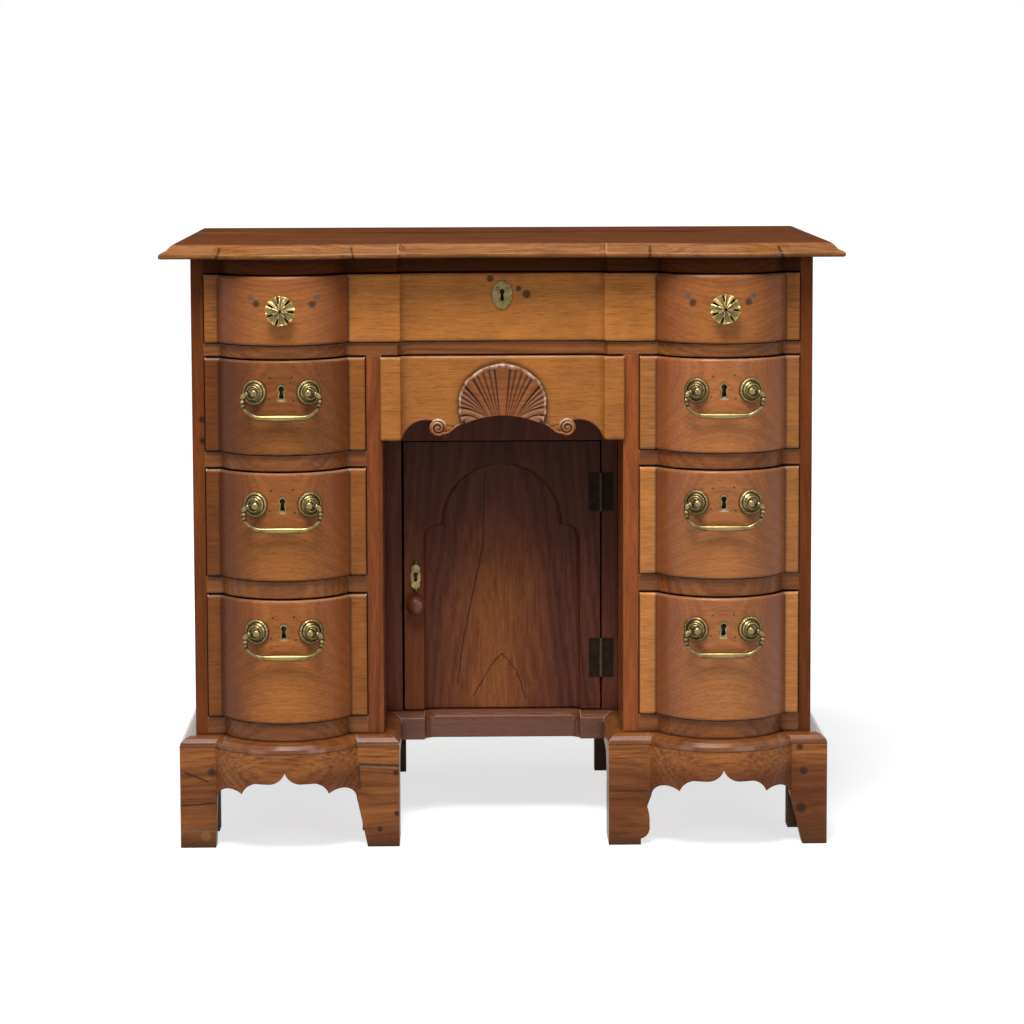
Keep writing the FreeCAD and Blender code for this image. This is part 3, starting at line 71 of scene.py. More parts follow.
NODES = frame["nodes"]
ROWS = ("upper", "middle", "lower")
SIDES = {"left": -1, "right": 1}
PEDESTAL_DRAWERS = [f"{row}_{side}_drawer" for row in ROWS for side in SIDES]
CASE_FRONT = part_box("case_side_left")[0][1]


def joint_place(name):
    """Where a joint's axis passes."""
    for joint in frame["joints"]:
        if joint["name"] == name:
            return Vector(joint["pos_m"])
    raise RuntimeError(f"no joint {name}")


def corners(name):
    """The two corners of a node's box."""
    return [Vector(corner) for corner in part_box(name)]


def middle(name):
    """The middle of a node's box."""
    low, high = corners(name)
    return (low + high) / 2


def held(value):
    """A value kept from 0 to 1."""
    return min(1.0, max(0.0, value))


# Settings

class WoodSettings(bpy.types.PropertyGroup):
    """Colours and scale of the woods."""
    front_dark: FloatVectorProperty(name="Front dark", description="Dark streaks of the drawer fronts",
                                    subtype="COLOR", default=(0.13, 0.036, 0.011))
    front_light: FloatVectorProperty(name="Front light", description="Light streaks of the drawer fronts",
                                     subtype="COLOR", default=(0.39, 0.136, 0.034))
    front_red: FloatVectorProperty(name="Front red", description="Red bloom of the blocks",
                                   subtype="COLOR", default=(0.15, 0.037, 0.013))
    gold: FloatVectorProperty(name="Gold", description="Golden flats of the fronts and the shell drawer",
                              subtype="COLOR", default=(0.43, 0.156, 0.032))
    case_dark: FloatVectorProperty(name="Case dark", description="Dark streaks of rails and sides",
                                   subtype="COLOR", default=(0.085, 0.020, 0.005))
    case_light: FloatVectorProperty(name="Case light", description="Light streaks of rails and sides",
                                    subtype="COLOR", default=(0.23, 0.062, 0.016))
    door_dark: FloatVectorProperty(name="Door dark", description="Dark streaks of the door",
                                   subtype="COLOR", default=(0.040, 0.011, 0.007))
    door_light: FloatVectorProperty(name="Door light", description="Light streaks of the door",
                                    subtype="COLOR", default=(0.145, 0.044, 0.025))
    plain_dark: FloatVectorProperty(name="Inner wood dark", description="Dark streaks of the inner softwood",
                                    subtype="COLOR", default=(0.17, 0.085, 0.036))
    plain_light: FloatVectorProperty(name="Inner wood light",
                                     description="Light streaks of the inner softwood",
                                     subtype="COLOR", default=(0.38, 0.22, 0.10))
    # Colour of dirt, old polish, joints and cracks, and also of painted shade: in hollows and corners, on
    # edges that look down, at the top of the door and round the shell and the scrolls.
    dirt_and_shade: FloatVectorProperty(name="Dirt", description="Old polish and dirt in hollows",
                              subtype="COLOR", default=(0.018, 0.007, 0.004))
    # Colour of painted highlights, laid on edges that look up and on the carving's rim, ridges and scroll
    # tops.
    painted_highlight: FloatVectorProperty(name="Glint", description="Polish rubbed bright on edges that look up",
                               subtype="COLOR", default=(0.74, 0.60, 0.47))
    dust: FloatVectorProperty(name="Dust", description="Grey dust and filler in mitres",
                              subtype="COLOR", default=(0.15, 0.115, 0.085))
    # The top board's colours are partly its own darker tone and partly painted shade, for a top seen almost
    # edge-on.
    top_dark: FloatVectorProperty(name="Top dark", description="Dark streaks of the top board",
                                  subtype="COLOR", default=(0.018, 0.005, 0.002))
    top_light: FloatVectorProperty(name="Top light", description="Light streaks of the top board",
                                   subtype="COLOR", default=(0.166, 0.058, 0.024))


class BrassSettings(bpy.types.PropertyGroup):
    """Colours of the brasses and the hinges."""
    bright: FloatVectorProperty(name="Bright", description="Rubbed brass",
                                subtype="COLOR", default=(0.32, 0.238, 0.092))
    aged: FloatVectorProperty(name="Aged", description="Brass that has darkened",
                              subtype="COLOR", default=(0.115, 0.084, 0.044))
    patina: FloatVectorProperty(name="Patina", description="Dark patina in hollows",
                                subtype="COLOR", default=(0.016, 0.011, 0.006))
    iron: FloatVectorProperty(name="Hinge metal", description="Blackened hinge leaves",
                              subtype="COLOR", default=(0.018, 0.009, 0.006))


class PullSettings(bpy.types.PropertyGroup):
    """Sizes of the swinging pulls."""
    post_half: FloatProperty(name="Post place", description="Post from the middle of its block",
                             default=0.0338, unit="LENGTH")
    face_radius: FloatProperty(name="Block round", description="Round face of a drawer front",
                               default=0.09525, unit="LENGTH")
    post_reach: FloatProperty(name="Post reach", description="Swinging axis out from the wood",
                              default=0.015, unit="LENGTH")
    beads: IntProperty(name="Beads", description="Ribs round the rim of a plate", default=32)
    knob_radius: FloatProperty(name="Flower knob", description="Radius of the flower knobs",
                               default=0.019, unit="LENGTH")
    knob_depth: FloatProperty(name="Flower depth", description="Flower knobs out from the wood",
                              default=0.021, unit="LENGTH")
    petals: IntProperty(name="Petals", description="Petals of a flower knob", default=7)


class CarvingSettings(bpy.types.PropertyGroup):
    """Sizes of the carved shell and scrolls."""
    arch_peak: FloatProperty(name="Arch peak",
                             description="Peak of the shaped edge above the drawer's lowest edge",
                             default=0.031, unit="LENGTH")
    shell_foot: FloatProperty(name="Shell foot", description="Relief of the shell at its foot",
                              default=0.0062, unit="LENGTH")
    scroll_place: FloatProperty(name="Scroll place", description="Scrolls from the middle of the drawer",
                                default=0.0823, unit="LENGTH")
    scroll_height: FloatProperty(name="Scroll height", description="Scrolls above the drawer's lower edge",
                                 default=0.0150, unit="LENGTH")
    bay_depth: FloatProperty(name="Bay depth", description="Sunk bay behind the front of the case",
                             default=0.009, unit="LENGTH")


class StageSettings(bpy.types.PropertyGroup):
    """The camera and the lamps."""
    lens: FloatProperty(name="Lens", description="Focal length in millimetres", default=104.9)
    distance: FloatProperty(name="Distance", description="Camera in front of the case",
                            default=3.766, unit="LENGTH")
    side: FloatProperty(name="Side", description="Camera right of the middle", default=-0.0469, unit="LENGTH")
    height: FloatProperty(name="Height", description="Camera above the floor", default=0.9591, unit="LENGTH")
    turn: FloatProperty(name="Turn", description="Camera turned to the right",
                        default=math.radians(0.898), unit="ROTATION")
    tilt: FloatProperty(name="Tilt", description="Camera tilted down",
                        default=math.radians(5.083), unit="ROTATION")
    roll: FloatProperty(name="Roll", description="Camera rolled",
                        default=math.radians(-0.185), unit="ROTATION")
    rise: FloatProperty(name="Rise", description="Vertical shift of the lens", default=-0.15)
    key: FloatProperty(name="Key lamp", description="Power of the key lamp in watts", default=150)
    left: FloatProperty(name="Left lamp", description="Power of the lamp at the left in watts", default=14)
    fill: FloatProperty(name="Fill lamp", description="Power of the fill lamp in watts", default=26)
    overhead: FloatProperty(name="Overhead lamp", description="Power of the overhead lamp in watts",
                            default=30)
    ambient: FloatProperty(name="Ambient", description="Strength of the surroundings", default=0.10)


# Shader nodes

FULL_TURN = 2 * math.pi
FROM_FRONT = (1.0, 0.0, 1.0)
EDGE_SAMPLES = 6


def place(tree, kind, inputs=None, **settings):
    """Add a node, set its settings, then link or set its inputs."""
    made = tree.nodes.new(kind)
    for name, setting in settings.items():
        setattr(made, name, setting)
    for key, given in (inputs or {}).items():
        if isinstance(given, bpy.types.NodeSocket):
            tree.links.new(given, made.inputs[key])
        else:
            made.inputs[key].default_value = given
    return made


def reckon(tree, operation, first, second=0.0, clamp=False):
    """A sum on one or two values."""
    made = place(tree, "ShaderNodeMath", {0: first, 1: second}, operation=operation, use_clamp=clamp)
    return made.outputs[0]


def times(tree, first, second, clamp=False):
    """The product of two values."""
    return reckon(tree, "MULTIPLY", first, second, clamp)


def plus(tree, first, second, clamp=False):
    """The sum of two values."""
    return reckon(tree, "ADD", first, second, clamp)


def vectors(tree, operation, first, second=(0.0, 0.0, 0.0)):
    """A sum on one or two vectors, which gives a vector or a measure."""
    made = place(tree, "ShaderNodeVectorMath", {0: first, 1: second}, operation=operation)
    measures = ("LENGTH", "DISTANCE", "DOT_PRODUCT")
    return made.outputs["Value" if operation in measures else "Vector"]


def scaled(tree, vector, share):
    """A vector made longer or shorter by a share."""
    made = place(tree, "ShaderNodeVectorMath", {0: vector, "Scale": share}, operation="SCALE")
    return made.outputs["Vector"]


def axis(tree, vector, letter):
    """One part of a vector."""
    return place(tree, "ShaderNodeSeparateXYZ", {0: vector}).outputs[letter]


def blended(tree, share, first, second):
    """Two colours blended by a share."""
    made = place(tree, "ShaderNodeMix", {0: share, 6: first, 7: second}, data_type="RGBA", blend_type="MIX")
    return made.outputs[2]


def ranged(tree, source, low, high, to_low=0.0, to_high=1.0):
    """A value carried from one range into another, and held there."""
    made = place(tree, "ShaderNodeMapRange",
                 {"Value": source, "From Min": low, "From Max": high, "To Min": to_low, "To Max": to_high})
    return made.outputs["Result"]


def noise(tree, vector, scale=1.0, detail=2.0, roughness=0.5):
    """A soft noise value."""
    made = place(tree, "ShaderNodeTexNoise",
                 {"Vector": vector, "Scale": scale, "Detail": detail, "Roughness": roughness})
    return made.outputs["Fac"]


def drift(tree, vector, scale, detail):
    """A soft noise with three parts, to push places about."""
    made = place(tree, "ShaderNodeTexNoise", {"Vector": vector, "Scale": scale, "Detail": detail})
    return made.outputs["Color"]


def stretched(tree, vector, scale):
    """A vector scaled along its axes."""
    return place(tree, "ShaderNodeMapping", {"Vector": vector, "Scale": scale}).outputs["Vector"]


def turned(tree, vector, angles):
    """A vector turned about its axes."""
    return place(tree, "ShaderNodeMapping", {"Vector": vector, "Rotation": angles}).outputs["Vector"]


def own_coords(tree):
    """Places on the piece itself."""
    return place(tree, "ShaderNodeTexCoord").outputs["Object"]


def stored(tree, name):
    """A value kept at the points of a mesh."""
    return place(tree, "ShaderNodeAttribute", attribute_name=name).outputs["Fac"]


def colour(rgb, share=1.0):
    """A colour made lighter or darker by a share."""
    return (*(share * part for part in rgb), 1.0)


def new_group(name, inputs, outputs):
    """An empty node group with named sockets; returns the group and what it is given."""
    group = bpy.data.node_groups.new(name, "ShaderNodeTree")
    kinds = {"value": "NodeSocketFloat", "vector": "NodeSocketVector"}
    for direction, sockets in (("INPUT", inputs), ("OUTPUT", outputs)):
        for label, kind in sockets.items():
            group.interface.new_socket(label, in_out=direction, socket_type=kinds[kind])
    return group, group.nodes.new("NodeGroupInput").outputs


def put_out(group, **sources):
    """Link what a node group puts out."""
    place(group, "NodeGroupOutput", sources)
    return group


def grain_group():
    """Wood whose fibres run along X: growth rings, streaks, pores and slow clouds of colour."""
    group, given = new_group(
        "wood_grain", {"Vector": "vector", "Ring": "value", "Warp": "value"},
        {"Rings": "value", "Streaks": "value", "Pores": "value", "Bloom": "value"})
    wander = drift(group, stretched(group, given["Vector"], (1.6, 5.0, 5.0)), scale=1.7, detail=3.0)
    pushed = scaled(group, vectors(group, "SUBTRACT", wander, (0.5, 0.5, 0.5)), given["Warp"])
    warped = vectors(group, "ADD", given["Vector"], pushed)
    radius = vectors(group, "LENGTH", vectors(group, "MULTIPLY", warped, (0.04, 1.0, 1.0)))
    turns = reckon(group, "DIVIDE", radius, given["Ring"])
    narrow = reckon(group, "SINE", times(group, turns, FULL_TURN))
    wide = reckon(group, "SINE", times(group, turns, FULL_TURN * 0.31))
    rings = plus(group, times(group, narrow, 0.6), times(group, wide, 0.5))
    streaks = noise(group, stretched(group, warped, (7.0, 260.0, 260.0)), detail=4.0, roughness=0.65)
    pores = noise(group, stretched(group, given["Vector"], (75.0, 1300.0, 1300.0)), detail=1.0)
    bloom = noise(group, stretched(group, given["Vector"], (5.0, 9.0, 9.0)))
    return put_out(group, Rings=ranged(group, rings, -1.0, 1.0), Streaks=ranged(group, streaks, 0.3, 0.7),
                   Pores=ranged(group, pores, 0.57, 0.72), Bloom=ranged(group, bloom, 0.35, 0.65))


def stroke_group():
    """A thin ragged line between two places seen from the front, such as a crack or a seam."""
    group, given = new_group(
        "stroke", {"Vector": "vector", "Start": "vector", "End": "vector", "Width": "value"},
        {"Mask": "value"})
    ragged = scaled(group, drift(group, given["Vector"], scale=90.0, detail=2.0), 0.004)
    moved = vectors(group, "ADD", given["Vector"], ragged)
    offset = vectors(group, "MULTIPLY", vectors(group, "SUBTRACT", moved, given["Start"]), FROM_FRONT)
    along = vectors(group, "MULTIPLY", vectors(group, "SUBTRACT", given["End"], given["Start"]), FROM_FRONT)
    reach = vectors(group, "DOT_PRODUCT", offset, along)
    whole = vectors(group, "DOT_PRODUCT", along, along)
    nearest = scaled(group, along, reckon(group, "DIVIDE", reach, whole, clamp=True))
    away = reckon(group, "DIVIDE", vectors(group, "DISTANCE", offset, nearest), given["Width"])
    return put_out(group, Mask=reckon(group, "SUBTRACT", 1.4, away, clamp=True))


def spot_group():
    """A soft round spot about a place seen from the front."""
    group, given = new_group(
        "spot", {"Vector": "vector", "Centre": "vector", "Radius": "value", "Soft": "value"},
        {"Mask": "value"})
    offset = vectors(group, "SUBTRACT", given["Vector"], given["Centre"])
    reach = vectors(group, "LENGTH", vectors(group, "MULTIPLY", offset, FROM_FRONT))
    ragged = times(group, noise(group, given["Vector"], scale=300.0), 0.6)
    away = plus(group, reckon(group, "DIVIDE", reach, given["Radius"]), times(group, ragged, given["Soft"]))
    edge = plus(group, 1.0, given["Soft"])
    return put_out(group, Mask=ranged(group, away, edge, 0.9))


def hollow_group():
    """Hollows and corners, found by ambient occlusion, where dirt and patina gather and where shade is
    painted.
    """
    group, given = new_group("hollows", {"Reach": "value", "Strength": "value"}, {"Mask": "value"})
    closed = place(group, "ShaderNodeAmbientOcclusion", {"Distance": given["Reach"]}, samples=EDGE_SAMPLES)
    shade = ranged(group, closed.outputs["AO"], 0.75, 0.25)
    return put_out(group, Mask=times(group, shade, given["Strength"], clamp=True))


def arris_group():
    """Edges eased by wear: a rounded normal, how near an edge is, and how far that edge looks up."""
    group, given = new_group("arrises", {"Radius": "value"},
                             {"Normal": "vector", "Edge": "value", "Rise": "value"})
    bevel = place(group, "ShaderNodeBevel", {"Radius": given["Radius"]}, samples=EDGE_SAMPLES)
    eased = bevel.outputs["Normal"]
    face = place(group, "ShaderNodeNewGeometry").outputs["Normal"]
    edge = ranged(group, vectors(group, "DOT_PRODUCT", eased, face), 0.99, 0.80)
    return put_out(group, Normal=eased, Edge=edge, Rise=times(group, edge, axis(group, eased, "Z")))


def speck_group():
    """Small dark specks strewn over a surface."""
    group, given = new_group(
        "specks", {"Vector": "vector", "Scale": "value", "Share": "value", "Size": "value"},
        {"Mask": "value"})
    cells = place(group, "ShaderNodeTexVoronoi", {"Vector": given["Vector"], "Scale": given["Scale"]}).outputs
    chance = place(group, "ShaderNodeSeparateColor", {0: cells["Color"]}).outputs["Red"]
    chosen = reckon(group, "LESS_THAN", chance, given["Share"])
    own_size = times(group, given["Size"], ranged(group, chance, 0.0, 0.2, 0.4, 1.0))
    near = reckon(group, "SUBTRACT", 1.3, reckon(group, "DIVIDE", cells["Distance"], own_size), clamp=True)
    return put_out(group, Mask=times(group, near, chosen))


GROUP_MAKERS = {"grain": grain_group, "stroke": stroke_group, "spot": spot_group, "hollow": hollow_group,
                "arris": arris_group, "speck": speck_group}
GROUPS = {}


def use_group(tree, name, **inputs):
    """Place a shared node group, building it the first time."""
    if name not in GROUPS:
        GROUPS[name] = GROUP_MAKERS[name]()
    sockets = {key.capitalize(): given for key, given in inputs.items()}
    return place(tree, "ShaderNodeGroup", sockets, node_tree=GROUPS[name]).outputs


# Materials

GRAIN_TURNS = {"x": (0.0, 0.0, 0.0), "y": (0.0, 0.0, math.pi / 2), "z": (0.0, math.pi / 2, 0.0)}
# How much of a wood's tone its rings make, how dirty its specks and pores are, how light its worn
# edges are, and how dark the painted shade on edges that look down is.
RING_SHARE = 0.45
SPECK_DIRT = 0.6
PORE_DIRT = 0.4
RUBBED_LIGHT = 1.4
UNDER_SHADE = 1.9


def new_material(name):
    """A material with only a shader and its output; returns it, its tree and the shader."""
    material = bpy.data.materials.new(name)
    material.use_nodes = True
    tree = material.node_tree
    tree.nodes.clear()
    shader = tree.nodes.new("ShaderNodeBsdfPrincipled")
    output = tree.nodes.new("ShaderNodeOutputMaterial")
    tree.links.new(shader.outputs["BSDF"], output.inputs["Surface"])
    return material, tree, shader


def finished(tree, shader, base, rough, relief):
    """Link a material's colour, roughness and fine relief to its shader."""
    bump = place(tree, "ShaderNodeBump", relief).outputs["Normal"]
    for name, source in (("Base Color", base), ("Roughness", rough), ("Normal", bump)):
        tree.links.new(source, shader.inputs[name])


def wood(name, dark, light, grain="x", pith=(0.0, 0.05, 0.0), ring=0.006, warp=0.03, tilt=0.0, bloom=None,
         bloom_share=0.0, paint=None, rough=0.24, contrast=1.0, depth=0.7, shade=1.0, arris=0.0016, worn=0.3,
         dirt_and_shade=(0.014, 0.85), sheen=0.15, coat=None, gloss=0.0, lit=0.2):
    """A polished wood whose fibres run along an axis, with rings about a pith line.

    ring is the width of a growth ring and warp how far it wanders; bloom tints slow clouds of the figure;
    contrast and depth spread its tones, and shade lightens or darkens them; paint adds a piece's own marks;
    arris and worn round and wear the edges; lit paints highlights on those that look up, and those that look
    down get painted shade; dirt_and_shade is how far hollows reach and how dark they are painted, for dirt
    and shade; coat, which is worked out at each place, or gloss adds a coat of polish."""
    settings = bpy.context.scene.bureau_wood
    soil_and_shade = colour(settings.dirt_and_shade)
    material, tree, shader = new_material(name)
    coords = own_coords(tree)
    shifted = vectors(tree, "SUBTRACT", coords, pith)
    if tilt:
        shifted = turned(tree, shifted, (tilt, 0.0, 0.0))
    figure = use_group(tree, "grain", vector=turned(tree, shifted, GRAIN_TURNS[grain]), ring=ring, warp=warp)
    ring_share = RING_SHARE * contrast
    tone = plus(tree, times(tree, figure["Rings"], ring_share),
                times(tree, figure["Streaks"], 1 - ring_share))
    tone = ranged(tree, tone, 0.0, 1.0, 0.5 - 0.5 * depth, 0.5 + 0.5 * depth)
    base = blended(tree, tone, colour(dark, shade), colour(light, shade))
    if bloom is not None:
        base = blended(tree, times(tree, figure["Bloom"], bloom_share), base, colour(bloom))
    if paint is not None:
        base = paint(tree, coords, figure, base)
    specks = use_group(tree, "speck", vector=coords, scale=75.0, share=0.10, size=0.075)["Mask"]
    base = blended(tree, times(tree, specks, SPECK_DIRT), base, soil_and_shade)
    base = blended(tree, times(tree, figure["Pores"], PORE_DIRT), base, soil_and_shade)
    eased = use_group(tree, "arris", radius=arris)
    base = blended(tree, times(tree, eased["Edge"], worn), base, colour(light, RUBBED_LIGHT))
    # Painted shade on the edges that look down.
    base = blended(tree, times(tree, eased["Rise"], -UNDER_SHADE, clamp=True), base, soil_and_shade)
    # Painted shade in hollows and corners, found by ambient occlusion, together with the dirt there.
    hollow = use_group(tree, "hollow", reach=dirt_and_shade[0], strength=dirt_and_shade[1])["Mask"]
    base = blended(tree, hollow, base, soil_and_shade)
    # Painted highlights on the edges that look up, broken along their length.
    broken = noise(tree, stretched(tree, coords, (16.0, 16.0, 3.0)), detail=1.0)
    glinting = ranged(tree, broken, 0.4, 0.6, 0.5 * lit, 1.6 * lit)
    base = blended(tree, times(tree, eased["Rise"], glinting, clamp=True), base, colour(settings.painted_highlight))
    height = reckon(tree, "SUBTRACT", times(tree, figure["Streaks"], 0.35), figure["Pores"])
    finished(tree, shader, base, ranged(tree, figure["Streaks"], 0.0, 1.0, rough + 0.05, rough - 0.05),
             {"Height": height, "Strength": 0.15, "Distance": 0.0005, "Normal": eased["Normal"]})
    shader.inputs["Specular IOR Level"].default_value = sheen
    if coat is not None:
        tree.links.new(coat(tree, coords), shader.inputs["Coat Weight"])
        shader.inputs["Coat Roughness"].default_value = 0.16
    elif gloss:
        shader.inputs["Coat Weight"].default_value = gloss
        shader.inputs["Coat Roughness"].default_value = 0.12
    return material


def marked(spots=(), strokes=()):
    """Paint of spots such as knots, plugs and painted shade (place, radius, raggedness, tint) and of lines
    such as cracks (start, end, width, tint).
    """
    def paint(tree, coords, figure, base):
        for centre, radius, soft, tint in spots:
            mask = use_group(tree, "spot", vector=coords, centre=centre, radius=radius, soft=soft)["Mask"]
            base = blended(tree, times(tree, mask, 0.85), base, colour(tint))
        for start, end, width, tint in strokes:
            mask = use_group(tree, "stroke", vector=coords, start=start, end=end, width=width)["Mask"]
            base = blended(tree, times(tree, mask, 0.8), base, colour(tint))
        return base
    return paint


def layered(*paints):
    """Several paints, one over the other."""
    def paint(tree, coords, figure, base):
        for layer in paints:
            base = layer(tree, coords, figure, base)
        return base
    return paint


def mottled(tree, coords, shade=1.0):
    """Golden wood with a fine cross mottle, as on the flats beside the blocks; redder where it is darker."""
    gold = bpy.context.scene.bureau_wood.gold
    bands = noise(tree, stretched(tree, coords, (30.0, 30.0, 420.0)), detail=4.0, roughness=0.6)
    fine = noise(tree, stretched(tree, coords, (90.0, 90.0, 1500.0)))
    cloud = noise(tree, coords, scale=22.0)
    mix = plus(tree, times(tree, bands, 0.5), times(tree, fine, 0.2))
    mix = plus(tree, mix, times(tree, cloud, 0.3))
    yellow = min(1.0, 0.62 + 0.5 * shade)
    tone = [shade * part for part in (gold[0], yellow * gold[1], yellow * gold[2])]
    return blended(tree, ranged(tree, mix, 0.36, 0.62), colour(tone, 0.62), colour(tone, 1.10))


def blocked(centre, height, half, shade, flat_shades, both_flats=True, dim=0.0):
    """Paint of a blocked front: red flanks, golden heart under the pull, mottled flats, dark joint lines.

    flat_shades says how light the flats are at the left and the right; dim paints shade on the left flank."""
    tones = bpy.context.scene.bureau_wood

    def paint(tree, coords, figure, base):
        about = axis(tree, coords, "X")
        if both_flats:
            about = reckon(tree, "ABSOLUTE", about)
        beside = reckon(tree, "SUBTRACT", about, centre)
        across = reckon(tree, "ABSOLUTE", beside)
        above = reckon(tree, "SUBTRACT", axis(tree, coords, "Z"), height)
        flank = ranged(tree, across, 0.25 * half, 0.95 * half)
        red = times(tree, flank, ranged(tree, figure["Bloom"], 0.0, 1.0, 0.4, 0.8))
        base = blended(tree, red, base, colour(tones.front_red, shade))
        # Painted shade on the left flank of the block.
        left = times(tree, ranged(tree, beside, -0.4 * half, -0.95 * half), dim)
        base = blended(tree, left, base, colour(tones.front_red, 0.4))
        heart = times(tree, ranged(tree, across, 0.75 * half, 0.1 * half), ranged(tree, above, 0.005, -0.05))
        golden = blended(tree, figure["Streaks"], colour(tones.gold, 0.75 * shade), colour(tones.gold, shade))
        base = blended(tree, times(tree, heart, 0.45), base, golden)
        flats = blended(tree, ranged(tree, beside, -0.01, 0.01), mottled(tree, coords, flat_shades[0]),
                        mottled(tree, coords, flat_shades[1]))
        base = blended(tree, ranged(tree, across, half - 0.0003, half + 0.0003), base, flats)
        away = reckon(tree, "ABSOLUTE", reckon(tree, "SUBTRACT", across, half))
        joint = times(tree, ranged(tree, away, 0.0022, 0.0004), 0.6)
        return blended(tree, joint, base, colour(tones.dirt_and_shade))
    return paint


def carved_wood(name):
    """The red-brown polish of the carving, with painted shade in its hollows and painted highlights on its
    rim, ridges and scroll tops.
    """
    tones = bpy.context.scene.bureau_wood
    material, tree, shader = new_material(name)
    figure = use_group(tree, "grain", vector=own_coords(tree), ring=0.01, warp=0.03)
    base = blended(tree, figure["Streaks"], colour(tones.front_red, 1.2), colour(tones.front_light, 0.85))
    # Painted shade that the carving stores: in its grooves, its hollow lobes and where its rim turns down.
    deep = stored(tree, "hollow")
    base = blended(tree, ranged(tree, deep, 0.15, 0.9, 0.0, 0.95), base, colour(tones.dirt_and_shade))
    # Painted highlight on the rim's lip, the crests of the outer ribs and the upper halves of the scrolls.
    base = blended(tree, times(tree, stored(tree, "rubbed"), 0.55), base, colour(tones.painted_highlight))
    # Painted shade in its corners, found by ambient occlusion.
    hollow = use_group(tree, "hollow", reach=0.006, strength=0.9)["Mask"]
    base = blended(tree, hollow, base, colour(tones.dirt_and_shade))
    finished(tree, shader, base, ranged(tree, deep, 0.0, 1.0, 0.26, 0.5),
             {"Height": figure["Streaks"], "Strength": 0.12, "Distance": 0.0005})
    shader.inputs["Specular IOR Level"].default_value = 0.14
    return material


def brass(name, worn=True, shade=1.0, holes=()):
    """Aged brass: worn bright where hands reach it, with patina and painted shade in its hollows and painted
    shade round its keyhole.
    """
    settings = bpy.context.scene.bureau_brass
    patina = colour(settings.patina)
    bright = colour(settings.bright, shade)
    material, tree, shader = new_material(name)
    coords = own_coords(tree)
    cloud = ranged(tree, noise(tree, coords, scale=160.0, detail=4.0, roughness=0.6), 0.35, 0.7)
    base = blended(tree, cloud, colour(settings.aged, shade), bright)
    if worn:
        base = blended(tree, times(tree, stored(tree, "rubbed"), 0.8), base, bright)
        base = blended(tree, stored(tree, "hollow"), base, patina)
    # Painted shade round the keyhole, which makes the hole look larger.
    for centre, radius in holes:
        mask = use_group(tree, "spot", vector=coords, centre=centre, radius=radius, soft=0.3)["Mask"]
        base = blended(tree, mask, base, patina)
    # Patina and painted shade in hollows and corners, reaching into the keyholes of the plain fittings and
    # locks.
    hollow = use_group(tree, "hollow", reach=0.004 if worn else 0.012, strength=1.0)["Mask"]
    base = blended(tree, hollow, base, patina)
    finished(tree, shader, base, ranged(tree, cloud, 0.0, 1.0, 0.42, 0.26),
             {"Height": noise(tree, coords, scale=900.0, detail=3.0), "Strength": 0.15, "Distance": 0.0004})
    shader.inputs["Metallic"].default_value = 1.0
    return material


def hinge_metal():
    """Blackened hinge leaves, a little rubbed, with brighter knuckles."""
    settings = bpy.context.scene.bureau_brass
    material, tree, shader = new_material("hinge_metal")
    coords = own_coords(tree)
    cloud = ranged(tree, noise(tree, coords, scale=120.0, detail=4.0), 0.45, 0.8)
    base = blended(tree, times(tree, cloud, 0.12), colour(settings.iron), colour(settings.aged))
    across = reckon(tree, "SUBTRACT", axis(tree, coords, "X"), joint_place("door_hinge").x)
    knuckle = ranged(tree, reckon(tree, "ABSOLUTE", across), 0.0024, 0.0016, 0.0, 0.6)
    base = blended(tree, knuckle, base, colour(settings.aged))
    finished(tree, shader, base, ranged(tree, cloud, 0.0, 1.0, 0.6, 0.4),
             {"Height": noise(tree, coords, scale=700.0, detail=3.0), "Strength": 0.25, "Distance": 0.0005})
    shader.inputs["Specular IOR Level"].default_value = 0.06
    return material


# Modelling

SMOOTH_ANGLE = math.radians(40)


def clear_selection():
    """Leave edit mode and select nothing."""
    if bpy.context.object and bpy.context.object.mode != "OBJECT":
        bpy.ops.object.mode_set(mode="OBJECT")
    bpy.ops.object.select_all(action="DESELECT")


def take(piece):
    """Select a piece alone and make it the active one."""
    clear_selection()
    piece.select_set(True)
    bpy.context.view_layer.objects.active = piece


def named(name):
    """Name the object just added and its mesh."""
    piece = bpy.context.object
    piece.name = name
    piece.data.name = name
    return piece


def faced_outwards(piece, closed=True):
    """Turn the faces outwards, after the doubles are merged and the holes filled where the form is closed."""
    take(piece)
    bpy.ops.object.mode_set(mode="EDIT")
    bpy.ops.mesh.select_all(action="SELECT")
    if closed:
        bpy.ops.mesh.remove_doubles(threshold=1e-6)
        bpy.ops.mesh.fill_holes(sides=0)
        bpy.ops.mesh.select_all(action="SELECT")
    bpy.ops.mesh.normals_make_consistent(inside=False)
    bpy.ops.object.mode_set(mode="OBJECT")
    return piece


def lathe(name, profile, segments):
    """A turned form about -Y, a ring for each (radius, out) of its profile."""
    clear_selection()
    radius, out = profile[0]
    bpy.ops.mesh.primitive_circle_add(vertices=segments, radius=radius, location=(0, -out, 0),
                                      rotation=(math.pi / 2, 0, 0))
    piece = named(name)
    bpy.ops.object.transform_apply(location=True, rotation=True, scale=True)
    bpy.ops.object.mode_set(mode="EDIT")
    for (last_radius, last_out), (radius, out) in zip(profile, profile[1:]):
        bpy.ops.mesh.extrude_region_move(TRANSFORM_OT_translate={"value": (0, last_out - out, 0)})
        share = radius / last_radius
        bpy.ops.transform.resize(value=(share, 1, share), center_override=(0, -out, 0))
    bpy.ops.object.mode_set(mode="OBJECT")
    return faced_outwards(piece)


